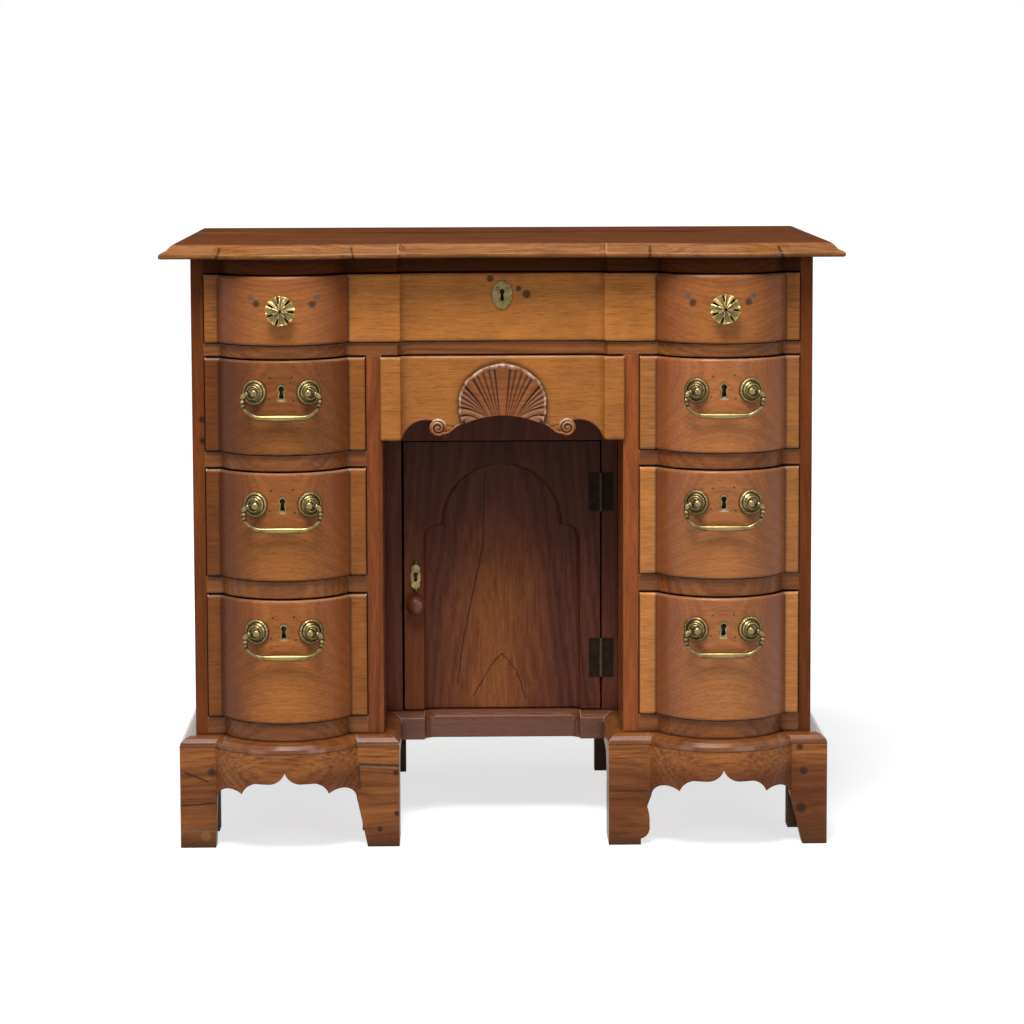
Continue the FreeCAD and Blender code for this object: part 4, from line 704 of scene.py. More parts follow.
def flowing(stations, parts=3):
    """Stations of a bar, with more of them in between on a smooth line."""
    smooth = []
    last = len(stations) - 1
    for index in range(last):
        around = [stations[min(max(index + step, 0), last)] for step in (-1, 0, 1, 2)]
        rows = [Vector((*spot, radius)) for spot, radius in around]
        for part in range(parts):
            share = part / parts
            blend = 0.5 * (2 * rows[1] + (rows[2] - rows[0]) * share
                           + (2 * rows[0] - 5 * rows[1] + 4 * rows[2] - rows[3]) * share ** 2
                           + (3 * rows[1] - rows[0] - 3 * rows[2] + rows[3]) * share ** 3)
            smooth.append((tuple(blend[:3]), blend[3]))
    smooth.append(stations[-1])
    return smooth


def bar(name, stations, resolution=4):
    """A round bar through (place, radius) stations, made from a path whose own radius is a millimetre."""
    millimetre = 0.001
    clear_selection()
    bpy.ops.curve.primitive_nurbs_path_add(location=(0, 0, 0))
    path = named(name).data
    path.splines.clear()
    spline = path.splines.new("POLY")
    spline.points.add(len(stations) - 1)
    for point, (spot, radius) in zip(spline.points, stations):
        point.co = (*spot, 1.0)
        point.radius = radius / millimetre
    path.dimensions = "3D"
    path.bevel_depth = millimetre
    path.bevel_resolution = resolution
    path.use_fill_caps = True
    bpy.ops.object.convert(target="MESH")
    return faced_outwards(named(name))


def joined(name, pieces):
    """Several meshes as one piece."""
    take(pieces[0])
    for piece in pieces:
        piece.select_set(True)
    bpy.ops.object.join()
    return named(name)


def copied(piece, name, matrix):
    """A copy with its own mesh, moved in the mesh."""
    mesh = piece.data.copy()
    mesh.transform(matrix)
    mesh.name = name
    twin = bpy.data.objects.new(name, mesh)
    bpy.context.collection.objects.link(twin)
    return twin


def measured(piece, **measures):
    """Store values from 0 to 1 at the points of a mesh."""
    for name, values in measures.items():
        kept = piece.data.attributes.new(name, "FLOAT", "POINT")
        for entry, value in zip(kept.data, values):
            entry.value = held(value)


def measured_by(piece, **rules):
    """Store values that rules give for the places of a mesh's points."""
    for name, rule in rules.items():
        measured(piece, **{name: [rule(point.co) for point in piece.data.vertices]})


def dressed(piece, material, body, slot, *replaced):
    """Give a piece its material and its body."""
    piece.data.materials.clear()
    piece.data.materials.append(material)
    take(piece)
    bpy.ops.object.shade_smooth_by_angle(angle=SMOOTH_ANGLE)
    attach(piece, body)
    if replaced:
        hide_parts(*replaced)


def painted(material, *names):
    """Give nodes of the frame a better material."""
    for name in names:
        mesh = NODES[name].data
        mesh.materials.clear()
        mesh.materials.append(material)


# Operators

class BUREAU_OT_case_finish(bpy.types.Operator):
    """Polish the boards, rails, mouldings and feet of the case"""
    bl_idname = "bureau.case_finish"
    bl_label = "Finish the case"

    TOP = CAD_BOX[1][2]
    # Where the mitres of the top's moulded edge and of the base stand, at their upper and lower ends,
    # and the heights of those ends.
    TOP_MITRES = ((-0.352, -0.358), (-0.187, -0.183), (0.187, 0.185), (0.348, 0.357))
    TOP_HEIGHTS = (TOP - 0.004, TOP - 0.024)
    BASE_MITRES = ((-0.193, -0.184), (-0.3475, -0.354), (0.193, 0.184), (0.3475, 0.354))
    BASE_HEIGHTS = (0.157, 0.141)
    # Where the flat of the top gives way to its moulded edge, below the top.
    FLAT_END = (0.0004, 0.0012)
    EDGE_GLOSS = 0.18
    EDGE_GOLD = 4.5 * EDGE_GLOSS
    # Where the strip under the door begins, behind the front of the case.
    STRIP_START = (0.10, 0.12)
    # Heights between which the feet end and the skirts begin, and up to which the feet are darkened towards
    # the floor.
    SKIRT_FOOT = (0.095, 0.115)
    DARKENED_HEIGHT = 0.035
    # How light each side of the kneehole is: painted light, the left darker and the right lighter.
    KNEE_SHADES = {"left": 1.12, "right": 1.4}
    REPAIR = (0.26, 0.13, 0.06)

    def execute(self, context):
        tones = context.scene.bureau_wood
        self.finish_top(tones)
        self.finish_front(tones)
        self.finish_sides(tones)
        self.finish_base(tones)
        self.finish_inside(tones)
        return {"FINISHED"}

    def finish_top(self, tones):
        """The top board, with its golden moulded edge."""
        joints = self.mitres(self.TOP_MITRES, self.TOP_HEIGHTS, 0.0018, tones.dirt_and_shade)
        painted(wood("mahogany_top", tones.top_dark, tones.top_light, pith=(0.3, 0.1, 0.69), ring=0.009,
                     warp=0.05, rough=0.45, sheen=0.0, depth=1.0, worn=0.1, arris=0.003, lit=0.5,
                     coat=self.edge_polish,
                     paint=layered(self.golden_edge, marked((), joints))), "top_board")

    def finish_front(self, tones):
        """The rails between the drawers, and the shadowed one under the top."""
        pith = (0.1, 0.02, 0.3)
        painted(wood("mahogany_rails", tones.case_dark, tones.front_light, pith=pith, ring=0.008,
                     bloom=tones.case_dark, bloom_share=0.35, dirt_and_shade=(0.014, 0.8), worn=0.15, rough=0.2,
                     arris=0.003, shade=0.9, lit=0.35),
                "long_divider_rail", "short_dividers", "bottom_boards")
        # The rail under the top is painted dark as shadow under the top's overhang.
        painted(wood("mahogany_top_rail", tones.case_dark, tones.case_light, pith=pith, ring=0.008,
                     shade=0.5, dirt_and_shade=(0.03, 1.0), sheen=0.02), "top_rail")

    def finish_sides(self, tones):
        """The sides of the case and of the kneehole, and the cupboard's frame."""
        upright = {"grain": "z", "warp": 0.05}
        knots = [((-0.381, 0.0, 0.548), 0.0035, 0.8, tones.dirt_and_shade),
                 ((-0.380, 0.0, 0.521), 0.0040, 0.8, tones.dirt_and_shade)]
        painted(wood("mahogany_sides", tones.case_dark, tones.case_light, pith=(0.2, 0.3, 0.1), ring=0.012,
                     shade=0.63, depth=1.0, bloom=tones.case_light, bloom_share=0.4, sheen=0.05,
                     paint=marked(knots), **upright), "case_side_left", "case_side_right")
        for side, shade in self.KNEE_SHADES.items():
            painted(wood(f"mahogany_kneehole_{side}", tones.case_dark, tones.case_light, pith=(0.1, 0.3, 0.1),
                         ring=0.010, shade=shade, depth=1.0, sheen=0.1, **upright), f"kneehole_side_{side}")
        painted(wood("mahogany_cupboard", tones.door_dark, tones.door_light, pith=(0.1, 0.2, 0.1), ring=0.010,
                     shade=1.1, sheen=0.06, **upright), "cupboard_frame")

    def finish_base(self, tones):
        """The mouldings of the base and the bracket feet."""
        reddish = {"pith": (0.1, -0.1, 0.02), "ring": 0.007, "bloom": tones.case_dark, "shade": 0.8}
        dust = self.mitres(self.BASE_MITRES, self.BASE_HEIGHTS, 0.0011, tones.dust)
        painted(wood("mahogany_base", tones.case_dark, tones.front_light, warp=0.04, bloom_share=0.5,
                     rough=0.2, arris=0.002, dirt_and_shade=(0.02, 1.0), gloss=0.3, lit=0.6,
                     paint=layered(self.dark_strip, marked((), dust)), **reddish), "base_mouldings")
        painted(wood("mahogany_feet", tones.case_dark, tones.front_light, warp=0.05, bloom_share=0.7,
                     rough=0.35, depth=1.0,
                     paint=layered(self.lighter_skirt, self.foot_marks(tones), self.darkened_near_floor), **reddish),
                "front_brackets", "side_brackets")

    def finish_inside(self, tones):
        """The softwood of the back, the runners and the drawers, and that of the blocks under the case."""
        plain = {"pith": (0.0, 0.2, 0.9), "ring": 0.010, "warp": 0.06}
        boxes = [f"{drawer}_box" for drawer in [*PEDESTAL_DRAWERS, "long_drawer", "shell_drawer"]]
        painted(wood("softwood", tones.plain_dark, tones.plain_light, rough=0.7, **plain),
                "back_boards", "drawer_runners", "cupboard_boards", *boxes)
        painted(wood("softwood_underside", tones.plain_dark, tones.plain_light, rough=0.8, shade=0.35,
                     **plain), "glue_blocks")

    def on_edge(self, tree, coords, most):
        """Most on the moulded edge of the top board, and 0 on its flat."""
        start, end = self.FLAT_END
        return ranged(tree, axis(tree, coords, "Z"), self.TOP - start, self.TOP - end, 0.0, most)

    def edge_polish(self, tree, coords):
        """Gloss of the moulded edge."""
        return self.on_edge(tree, coords, self.EDGE_GLOSS)

    def golden_edge(self, tree, coords, figure, base):
        """The moulded edge of the top board, golden brown and lighter than the flat."""
        gold = bpy.context.scene.bureau_wood.gold
        golden = blended(tree, figure["Streaks"], colour(gold, 0.22), colour(gold, 0.68))
        return blended(tree, self.on_edge(tree, coords, self.EDGE_GOLD), base, golden)

    def mitres(self, places, heights, width, tint):
        """Lines in the mitres of a moulding, where its blocks begin and end."""
        top, bottom = heights
        return [((upper, 0.0, top), (lower, 0.0, bottom), width, tint) for upper, lower in places]

    def dark_strip(self, tree, coords, figure, base):
        """The strip under the door, darker and redder than the mouldings in front."""
        start, end = self.STRIP_START
        behind = ranged(tree, axis(tree, coords, "Y"), CASE_FRONT + start, CASE_FRONT + end, 0.0, 0.75)
        return blended(tree, behind, base, colour(bpy.context.scene.bureau_wood.door_light, 0.7))

    def darkened_near_floor(self, tree, coords, figure, base):
        """The feet, darkened towards the floor."""
        rising = ranged(tree, axis(tree, coords, "Z"), self.DARKENED_HEIGHT, 0.0, 0.0, 0.6)
        return blended(tree, rising, base, colour(bpy.context.scene.bureau_wood.dirt_and_shade))

    def lighter_skirt(self, tree, coords, figure, base):
        """The skirts, lighter than the feet."""
        share = times(tree, ranged(tree, axis(tree, coords, "Z"), *self.SKIRT_FOOT), figure["Streaks"])
        return blended(tree, times(tree, share, 0.8), base, colour(bpy.context.scene.bureau_wood.front_light))

    def foot_marks(self, tones):
        """Pegs, knots, repairs and cracks of the four front feet."""
        dark = tones.dirt_and_shade
        spots = [((-0.138, 0.0, 0.096), 0.0035, 0.2, dark), ((-0.137, 0.0, 0.043), 0.0035, 0.2, dark),
                 ((-0.159, 0.0, 0.023), 0.0035, 0.2, dark), ((-0.381, 0.0, 0.015), 0.0060, 0.2, self.REPAIR),
                 ((0.380, 0.0, 0.047), 0.0060, 0.6, dark), ((0.383, 0.0, 0.095), 0.0045, 0.6, dark),
                 ((0.378, 0.0, 0.126), 0.0040, 0.6, dark), ((-0.372, 0.0, 0.098), 0.0050, 0.8, dark)]
        strokes = [((-0.415, 0.0, 0.057), (-0.362, 0.0, 0.060), 0.0012, dark),
                   ((-0.415, 0.0, 0.023), (-0.365, 0.0, 0.024), 0.0009, tones.dust),
                   ((-0.405, 0.0, 0.100), (-0.375, 0.0, 0.088), 0.0014, dark),
                   ((-0.182, 0.0, 0.109), (-0.132, 0.0, 0.107), 0.0016, dark),
                   ((-0.182, 0.0, 0.106), (-0.132, 0.0, 0.104), 0.0008, tones.dust),
                   ((-0.1835, 0.0, 0.106), (-0.182, 0.0, 0.078), 0.0016, dark),
                   ((0.132, 0.0, 0.072), (0.184, 0.0, 0.072), 0.0008, dark),
                   ((0.366, 0.0, 0.055), (0.374, 0.0, 0.030), 0.0018, dark)]
        return marked(spots, strokes)


class BUREAU_OT_front_finish(bpy.types.Operator):
    """Polish the drawer fronts and the door, each with its own figure"""
    bl_idname = "bureau.front_finish"
    bl_label = "Finish the fronts"

    # How light the block of each pedestal front is, and its flats at the left and the right: partly each
    # front's own tone, partly painted light that leaves the left fronts darker and the right ones lighter.
    SHADES = {"upper_left": (0.68, (0.30, 0.58)), "upper_right": (1.18, (0.74, 0.70)),
              "middle_left": (0.92, (0.35, 0.57)), "middle_right": (1.06, (0.97, 0.80)),
              "lower_left": (1.04, (0.43, 0.60)), "lower_right": (1.08, (1.05, 1.05))}
    LONG_SHADES = (1.06, (0.95, 0.66))
    # How much painted shade darkens the left flanks, and how much the fronts shine, on each side.
    LEFT_FLANKS = {"left": (0.6, 0.11), "right": (0.05, 0.24)}
    BLOCK_HALF = 0.0827
    # The pith of a pedestal front behind the case's front, and its steps aside, back and down.
    PITH_DEPTH = 0.035
    PITH_STEPS = (0.006, 0.008, 0.012)
    BLOCKED_FINISH = {"depth": 0.6, "arris": 0.0045, "worn": 0.1, "lit": 0.9}
    # Small old holes about the lock of a pedestal front, beside and above the axis of its bail.
    HOLES = ((-0.014, 0.018), (0.013, 0.019), (-0.016, -0.008), (0.015, -0.010))
    HOLE_RADIUS = 0.0012
    # Plugged holes beside the long drawer's knobs: outwards, above, radius and tint.
    GREY = (0.10, 0.065, 0.05)
    BLACK = (0.035, 0.016, 0.012)
    PLUGS = ((0.031, 0.008, 0.0042, BLACK), (0.0375, 0.0155, 0.0036, GREY),
             (-0.039, 0.007, 0.0042, BLACK), (-0.0450, 0.0152, 0.0036, GREY))
    # Dark spots about the long drawer's lock: beside the middle, above the knobs, and radius.
    LOCK_SPOTS = ((-0.015, 0.035, 0.004), (0.021, 0.022, 0.0035), (0.031, 0.015, 0.005))
    # The long crack of the door and the flame of its figure: beside the middle and above the floor.
    CRACK = ((-0.020, 0.459), (-0.023, 0.363), (-0.0485, 0.242), (-0.0576, 0.178))
    FLAME = ((-0.036, 0.162), (-0.013, 0.203), (0.002, 0.219), (0.020, 0.197), (0.033, 0.160))
    # Painted shade in the ring cut round the shell, above the drawer's lower edge, and on the ground behind a
    # scroll.
    SHELL_RISE = 0.044
    SHELL_RADIUS = 0.0585
    SCROLL_RADIUS = 0.0098

    def execute(self, context):
        tones = context.scene.bureau_wood
        for number, drawer in enumerate(PEDESTAL_DRAWERS):
            self.finish_pedestal_drawer(tones, number, drawer)
        self.finish_long_drawer(tones, context.scene.bureau_pulls)
        painted(wood("mahogany_shell_drawer", tones.front_dark, tones.gold,
                     pith=(0.1, CASE_FRONT + 0.04, 0.45), ring=0.010, warp=0.03, contrast=0.7, arris=0.004,
                     worn=0.15, lit=0.9, paint=self.shell_ground), "shell_drawer_front")
        self.finish_door(tones)
        return {"FINISHED"}

    def finish_pedestal_drawer(self, tones, number, drawer):
        """A blocked front, its pith a little apart from its neighbours'."""
        high = corners(f"{drawer}_front")[1]
        pivot = joint_place(f"{drawer}_bail_swing")
        shade, flat_shades = self.SHADES[drawer.removesuffix("_drawer")]
        dim, sheen = self.LEFT_FLANKS[drawer.split("_")[1]]
        aside, back, down = self.PITH_STEPS
        pith = (pivot.x + aside * (number % 3 - 1), CASE_FRONT + self.PITH_DEPTH + back * (number % 2),
                high.z - down * (number % 3))
        block = blocked(pivot.x, pivot.z, self.BLOCK_HALF, shade, flat_shades, False, dim)
        holes = [((pivot.x + beside, 0.0, pivot.z + rise), self.HOLE_RADIUS, 0.3, tones.dirt_and_shade)
                 for beside, rise in self.HOLES]
        painted(wood(f"mahogany_{drawer}", tones.front_dark, tones.front_light, pith=pith, ring=0.0042,
                     warp=0.012, shade=shade, sheen=sheen, paint=layered(block, marked(holes)),
                     **self.BLOCKED_FINISH), f"{drawer}_front")

    def finish_long_drawer(self, tones, sizes):
        """The long front, with a block behind each knob."""
        low, high = corners("long_drawer_knobs")
        knob_height = (low.z + high.z) / 2
        knob_place = high.x - sizes.knob_radius
        spots = []
        for side in SIDES.values():
            for beside, rise, radius, tint in self.PLUGS:
                spots.append(((side * (knob_place + beside), 0.0, knob_height + rise), radius, 0.5, tint))
        for beside, rise, radius in self.LOCK_SPOTS:
            spots.append(((beside, 0.0, knob_height + rise), radius, 0.6, tones.dirt_and_shade))
        blocks = blocked(knob_place, knob_height + 0.03, self.BLOCK_HALF, *self.LONG_SHADES)
        painted(wood("mahogany_long_drawer", tones.front_dark, tones.front_light,
                     pith=(0.1, CASE_FRONT + 0.03, 0.55), ring=0.0060, warp=0.03, sheen=0.14,
                     paint=layered(blocks, marked(spots)), **self.BLOCKED_FINISH), "long_drawer_front")

    def finish_door(self, tones):
        """The door, dark and cracked, and its little knob."""
        strokes = []
        for line, width in ((self.CRACK, 0.0009), (self.FLAME, 0.0008)):
            for (x, z), (next_x, next_z) in zip(line, line[1:]):
                strokes.append(((x, 0.0, z), (next_x, 0.0, next_z), width, tones.dirt_and_shade))
        painted(wood("mahogany_door", tones.door_dark, tones.door_light, grain="z",
                     pith=(-0.005, CASE_FRONT + 0.24, 0.22), ring=0.008, warp=0.03, tilt=0.09, contrast=1.1,
                     depth=0.9, sheen=0.06, paint=layered(self.door_heart, marked((), strokes))),
                "door_panel")
        painted(wood("mahogany_door_knob", tones.case_dark, tones.front_red, grain="y", ring=0.004,
                     pith=(-0.114, 0.0, 0.30), rough=0.3, sheen=0.35), "door_knob")

    def shell_ground(self, tree, coords, figure, base):
        """Golden ground of the shell drawer, with painted shade in the ring cut round the shell and behind
        the scrolls.
        """
        tones = bpy.context.scene.bureau_wood
        sizes = bpy.context.scene.bureau_carving
        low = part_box("shell_drawer_front")[0][2]
        base = blended(tree, 0.8, base, mottled(tree, coords, 0.8))
        spots = [((0.0, 0.0, low + self.SHELL_RISE), self.SHELL_RADIUS, 0.04, tones.dirt_and_shade)]
        for side in SIDES.values():
            centre = (side * sizes.scroll_place, 0.0, low + sizes.scroll_height)
            spots.append((centre, self.SCROLL_RADIUS, 0.05, tones.dirt_and_shade))
        return marked(spots)(tree, coords, figure, base)

    def door_heart(self, tree, coords, figure, base):
        """The lighter golden-brown heart of the door, from its middle down, and the shadow at its top."""
        tones = bpy.context.scene.bureau_wood
        across = axis(tree, coords, "X")
        height = axis(tree, coords, "Z")
        near = ranged(tree, reckon(tree, "ABSOLUTE", plus(tree, across, 0.01)), 0.085, 0.01)
        low = ranged(tree, height, 0.42, 0.28)
        golden = blended(tree, figure["Streaks"], colour(tones.case_light), colour(tones.front_light))
        base = blended(tree, times(tree, times(tree, near, low), 0.55), base, golden)
        edge = times(tree, ranged(tree, across, -0.090, -0.110), low)
        base = blended(tree, times(tree, edge, 0.45), base, colour(tones.case_light))
        shadow = times(tree, ranged(tree, height, 0.36, 0.50), 0.4)
        return blended(tree, shadow, base, colour(tones.dirt_and_shade))


class BUREAU_OT_metal_finish(bpy.types.Operator):
    """Age the brasses, locks and hinges that keep their plain form"""
    bl_idname = "bureau.metal_finish"
    bl_label = "Finish the metal"

    # Painted shade round the keyholes of the long drawer and the door, which makes each hole look larger:
    # places above the middle and their radii.
    LONG_KEYHOLE = ((0.0035, 0.0030), (-0.001, 0.0018), (-0.0042, 0.0021), (-0.0068, 0.0024))
    DOOR_KEYHOLE = ((0.003, 0.0022), (0.0, 0.0022), (-0.003, 0.0022))
    KEY_RISE = 0.0155

    def shaded_lock(self, name, shade, across, height, keyhole):
        """A lock's plate, with painted shade about its keyhole."""
        holes = [((across, 0.0, height + rise), radius) for rise, radius in keyhole]
        return brass(name, worn=False, shade=shade, holes=holes)

    def execute(self, context):
        bolts = [f"{owner}_bolt" for owner in [*PEDESTAL_DRAWERS, "long_drawer", "door"]]
        fittings = [f"{drawer}_fittings" for drawer in PEDESTAL_DRAWERS]
        painted(brass("brass_fittings", worn=False), *bolts, *fittings)
        key_height = middle("long_drawer_knobs").z + self.KEY_RISE
        painted(self.shaded_lock("brass_long_drawer", 0.72, 0.0, key_height, self.LONG_KEYHOLE),
                "long_drawer_lock")
        painted(self.shaded_lock("brass_door", 0.85, middle("door_knob").x, middle("door_lock").z,
                               self.DOOR_KEYHOLE), "door_lock")
        painted(hinge_metal(), "case_hinge_leaves", "door_hinge_leaves")
        return {"FINISHED"}


class BUREAU_OT_shell(bpy.types.Operator):
    """Carve the shell of the drawer over the kneehole"""
    bl_idname = "bureau.shell"
    bl_label = "Carve the shell"

    # Ends of the lobes from the middle outwards, in metres from the peak of the drawer's lower edge: the
    # rim beside the middle and above the peak, and the foot beside the middle.
    ENDS = ((0.0, 0.0663, 0.0), (0.0101, 0.0647, 0.0035), (0.0397, 0.0498, 0.013), (0.0490, 0.0390, 0.0183),
            (0.0549, 0.0100, 0.021), (0.0533, -0.0005, 0.031), (0.0500, -0.0088, 0.0488))
    # Swell of each lobe (hollow if negative), its ribs, their height, and the bulge of its rim.
    LOBES = ((0.0012, 0, 0.0, 0.0004), (-0.0022, 4, 0.0005, 0.0028), (0.0020, 0, 0.0, 0.0018),
             (-0.0010, 4, 0.0010, 0.0030), (0.0022, 0, 0.0, 0.0014), (0.0018, 1, 0.0004, 0.0006))
    # The mesh: columns of a lobe, rows from foot to rim, and those of them that turn down over the lip.
    LOBE_COLUMNS = 84
    ROWS = 40
    LIP_ROWS = 3
    # Depth of the grooves between lobes, rise of the bowl, height of the lip, bow of the flanks, and how
    # far the rim spreads and sinks into the ground.
    GROOVE_DEPTH = 0.0011
    BOWL_RISE = 0.0026
    LIP_HEIGHT = 0.0018
    FLANK_BOW = 0.0100
    RIM_SPREAD = 0.014
    RIM_SINK = 0.0008
    # The point that the lobes bulge away from, above the peak, and the fall and bow of the foot's line.
    BULGE_CENTRE = 0.024
    FOOT_START = 0.0002
    FOOT_FALL = 0.0103
    FOOT_BOW = 0.0096

    def lobe(self, place_along):
        """The lobe at a place along the rim and how far through it that place is."""
        index = min(int(abs(place_along)), len(self.LOBES) - 1)
        return index, abs(place_along) - index

    def form(self, index, through, share):
        """Height of a lobe's own form over the bowl of the shell, and how much shade is painted there."""
        swell, ribs, rib_height = self.LOBES[index][:3]
        edge = min(through, 1 - through) if index else 1 - through
        groove = math.exp(-(edge / 0.10) ** 2)
        if index == 0:
            form = swell * math.cos(math.pi / 2 * through) * (1.6 - share)
        else:
            form = swell * math.sin(math.pi * through)
        shade = 0.25 + 0.2 * share if swell > 0 else 0.60
        if ribs:
            crest = abs(math.sin(math.pi * ribs * through))
            form += rib_height * (crest - 0.5) * 1.6
            shade += 0.40 * (1 - crest) ** 2 - 0.25 * crest
        form -= self.GROOVE_DEPTH * groove
        return form * share ** 0.6, max(shade, groove)

    def outline(self, index, through):
        """Rim and foot at a place within a lobe."""
        before, after = Vector(self.ENDS[index]), Vector(self.ENDS[index + 1])
        rim_x, rim_z, foot_x = before.lerp(after, through)
        bulge = self.LOBES[index][3] * math.sin(math.pi * through)
        out = Vector((rim_x, rim_z - self.BULGE_CENTRE)).normalized() * bulge
        flat = foot_x / self.ENDS[-1][2]
        foot_z = self.FOOT_START - self.FOOT_FALL * flat + self.FOOT_BOW * flat * (1 - flat)
        return rim_x + out.x, rim_z + out.y, foot_x, foot_z

    def carve(self, along, row, foot_relief):
        """A point of the shell at a place along the rim and a row from foot to rim.

        Returns its place, beside the middle, out from the ground and above the peak, its painted shade and
        its painted highlight."""
        index, through = self.lobe(along)
        rim_x, rim_z, foot_x, foot_z = self.outline(index, through)
        share = held((row - 1) / (self.ROWS - self.LIP_ROWS - 1))
        over = held((row - self.ROWS + self.LIP_ROWS) / self.LIP_ROWS)
        form, shade = self.form(index, through, share)
        bowl = foot_relief + self.BOWL_RISE * share ** 1.5
        lip = self.LIP_HEIGHT * math.exp(-((share - 0.965) / 0.03) ** 2)
        relief = (bowl + form + lip) * (1 - over) if row > 0.5 else 0.0
        spread = 1 + self.RIM_SPREAD * over
        bow = self.FLANK_BOW * share * (1 - share) * min(1.0, rim_x / 0.05)
        beside = math.copysign(foot_x + (rim_x - foot_x) * share, along) * spread
        spot = (beside, relief - self.RIM_SINK * over, foot_z + (rim_z - foot_z) * share * spread + bow)
        # Where the rim turns down into the ground it is all in painted shade.
        if over >= 0.5:
            return spot, 1.0, 0.0
        # Painted highlight along the rim's lip, broken here and there, and on the crests of the outer ribs.
        broken = 0.55 + 0.45 * math.sin(7 * along + 1.2)
        crest = 0.35 * max(0.0, 0.6 - shade) if index >= 3 else 0.0
        return spot, shade - lip / 0.0012, lip / 0.0016 * broken + crest

    def execute(self, context):
        sizes = context.scene.bureau_carving
        face = CASE_FRONT + sizes.bay_depth
        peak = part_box("shell_drawer_front")[0][2] + sizes.arch_peak
        clear_selection()
        bpy.ops.mesh.primitive_grid_add(x_subdivisions=self.LOBE_COLUMNS * len(self.LOBES),
                                        y_subdivisions=self.ROWS, size=2)
        piece = named("carved_shell")
        hollows = []
        highlights = []
        for point in piece.data.vertices:
            row = (point.co.y + 1) / 2 * self.ROWS
            spot, hollow, rub_and_highlight = self.carve(point.co.x * len(self.LOBES), row, sizes.shell_foot)
            point.co = (spot[0], face - spot[1], peak + spot[2])
            hollows.append(hollow)
            highlights.append(rub_and_highlight)
        measured(piece, hollow=hollows, rubbed=highlights)
        faced_outwards(piece, closed=False)
        if piece.data.polygons[len(piece.data.polygons) // 2].normal.y > 0:
            piece.data.flip_normals()
        dressed(piece, carved_wood("mahogany_carving"), "shell_drawer", "mahogany")
        return {"FINISHED"}


class BUREAU_OT_scrolls(bpy.types.Operator):
    """Carve the two scrolls of the shell drawer's lower edge, and the tails that run to the shell"""
    bl_idname = "bureau.scrolls"
    bl_label = "Carve the scrolls"

    # A tail from the shell to its scroll: towards the shell, above the scroll's centre, behind its
    # ridge, and radius.
    TAIL = ((0.0323, 0.0062, 0.0024, 0.0006), (0.0280, 0.0046, 0.0022, 0.0008),
            (0.0235, 0.0022, 0.0018, 0.0010), (0.0185, -0.0016, 0.0012, 0.0012),
            (0.0130, -0.0058, 0.0006, 0.0014))
    # Radius and height of the rings of the eye.
    EYE = ((0.0024, -0.002), (0.0024, 0.0004), (0.0019, 0.0012), (0.0009, 0.0016), (0.0002, 0.0017))
    EYE_SIDES = 24
    # The spiral: its start below the level, its turns and steps, its radii, and its ridge's radius and taper.
    START = math.radians(50)
    TURNS = 1.56
    STEPS = 60
    OUTER_RADIUS = 0.0092
    INNER_RADIUS = 0.0021
    RIDGE = 0.00165
    RIDGE_TAPER = 0.0006
    # How far the spiral stands proud of the ground.
    PROUD = 0.0024
    # The ground over a tail: its top above the scroll's centre, its depth, how far it is set back, and
    # how many steps of the spiral it follows.
    WEB_TOP = 0.0068
    WEB_DEPTH = 0.008
    WEB_BEHIND = 0.0001
    WEB_STEPS = 4

    def spiral(self):
        """Stations of a scroll's ridge from its outer end to its eye."""
        stations = []
        for step in range(self.STEPS + 1):
            share = step / self.STEPS
            angle = -self.START - FULL_TURN * self.TURNS * share
            radius = self.OUTER_RADIUS + (self.INNER_RADIUS - self.OUTER_RADIUS) * share
            stations.append(((radius * math.cos(angle), 0.0, radius * math.sin(angle)),
                             self.RIDGE - self.RIDGE_TAPER * share))
        return stations

    def web(self, line):
        """The ground between a tail and the drawer's shaped edge above it."""
        clear_selection()
        bpy.ops.mesh.primitive_grid_add(x_subdivisions=len(line) - 1, y_subdivisions=1, size=2)
        piece = named("scroll_web")
        for point in piece.data.vertices:
            spot = line[round((point.co.x + 1) / 2 * (len(line) - 1))][0]
            point.co = (spot[0], self.PROUD + self.WEB_BEHIND, spot[2] if point.co.y < 0 else self.WEB_TOP)
        wall = piece.modifiers.new("wall", "SOLIDIFY")
        wall.thickness = self.WEB_DEPTH
        wall.offset = 1.0 if piece.data.polygons[0].normal.y > 0 else -1.0
        bpy.ops.object.modifier_apply(modifier=wall.name)
        return faced_outwards(piece)

    def execute(self, context):
        sizes = context.scene.bureau_carving
        low = corners("shell_drawer_front")[0]
        out = CASE_FRONT + sizes.bay_depth - self.PROUD
        tail = [((x, behind, z), radius) for x, z, behind, radius in self.TAIL]
        spiral = self.spiral()
        ridge = bar("scroll_ridge", flowing(tail + spiral))
        web = self.web(flowing(tail + spiral[:self.WEB_STEPS]))
        scroll = joined("scroll", [ridge, lathe("scroll_eye", self.EYE, self.EYE_SIDES)])
        # The upper half of a scroll is painted with a highlight.
        measured_by(scroll, hollow=lambda spot: 0.1, rubbed=lambda spot: 60 * spot.z)
        pieces = []
        for side_name, side in SIDES.items():
            centre = Vector((side * sizes.scroll_place, out, low.z + sizes.scroll_height))
            seat = Matrix.Translation(centre) @ Matrix.Diagonal((-side, 1, 1, 1))
            pieces.append((copied(scroll, f"carved_scroll_{side_name}", seat), "mahogany_carving"))
            pieces.append((copied(web, f"scroll_ground_{side_name}", seat), "mahogany_shell_drawer"))
        bpy.data.objects.remove(scroll)
        bpy.data.objects.remove(web)
        for twin, finish in pieces:
            dressed(faced_outwards(twin), bpy.data.materials[finish], "shell_drawer", "mahogany")
        return {"FINISHED"}


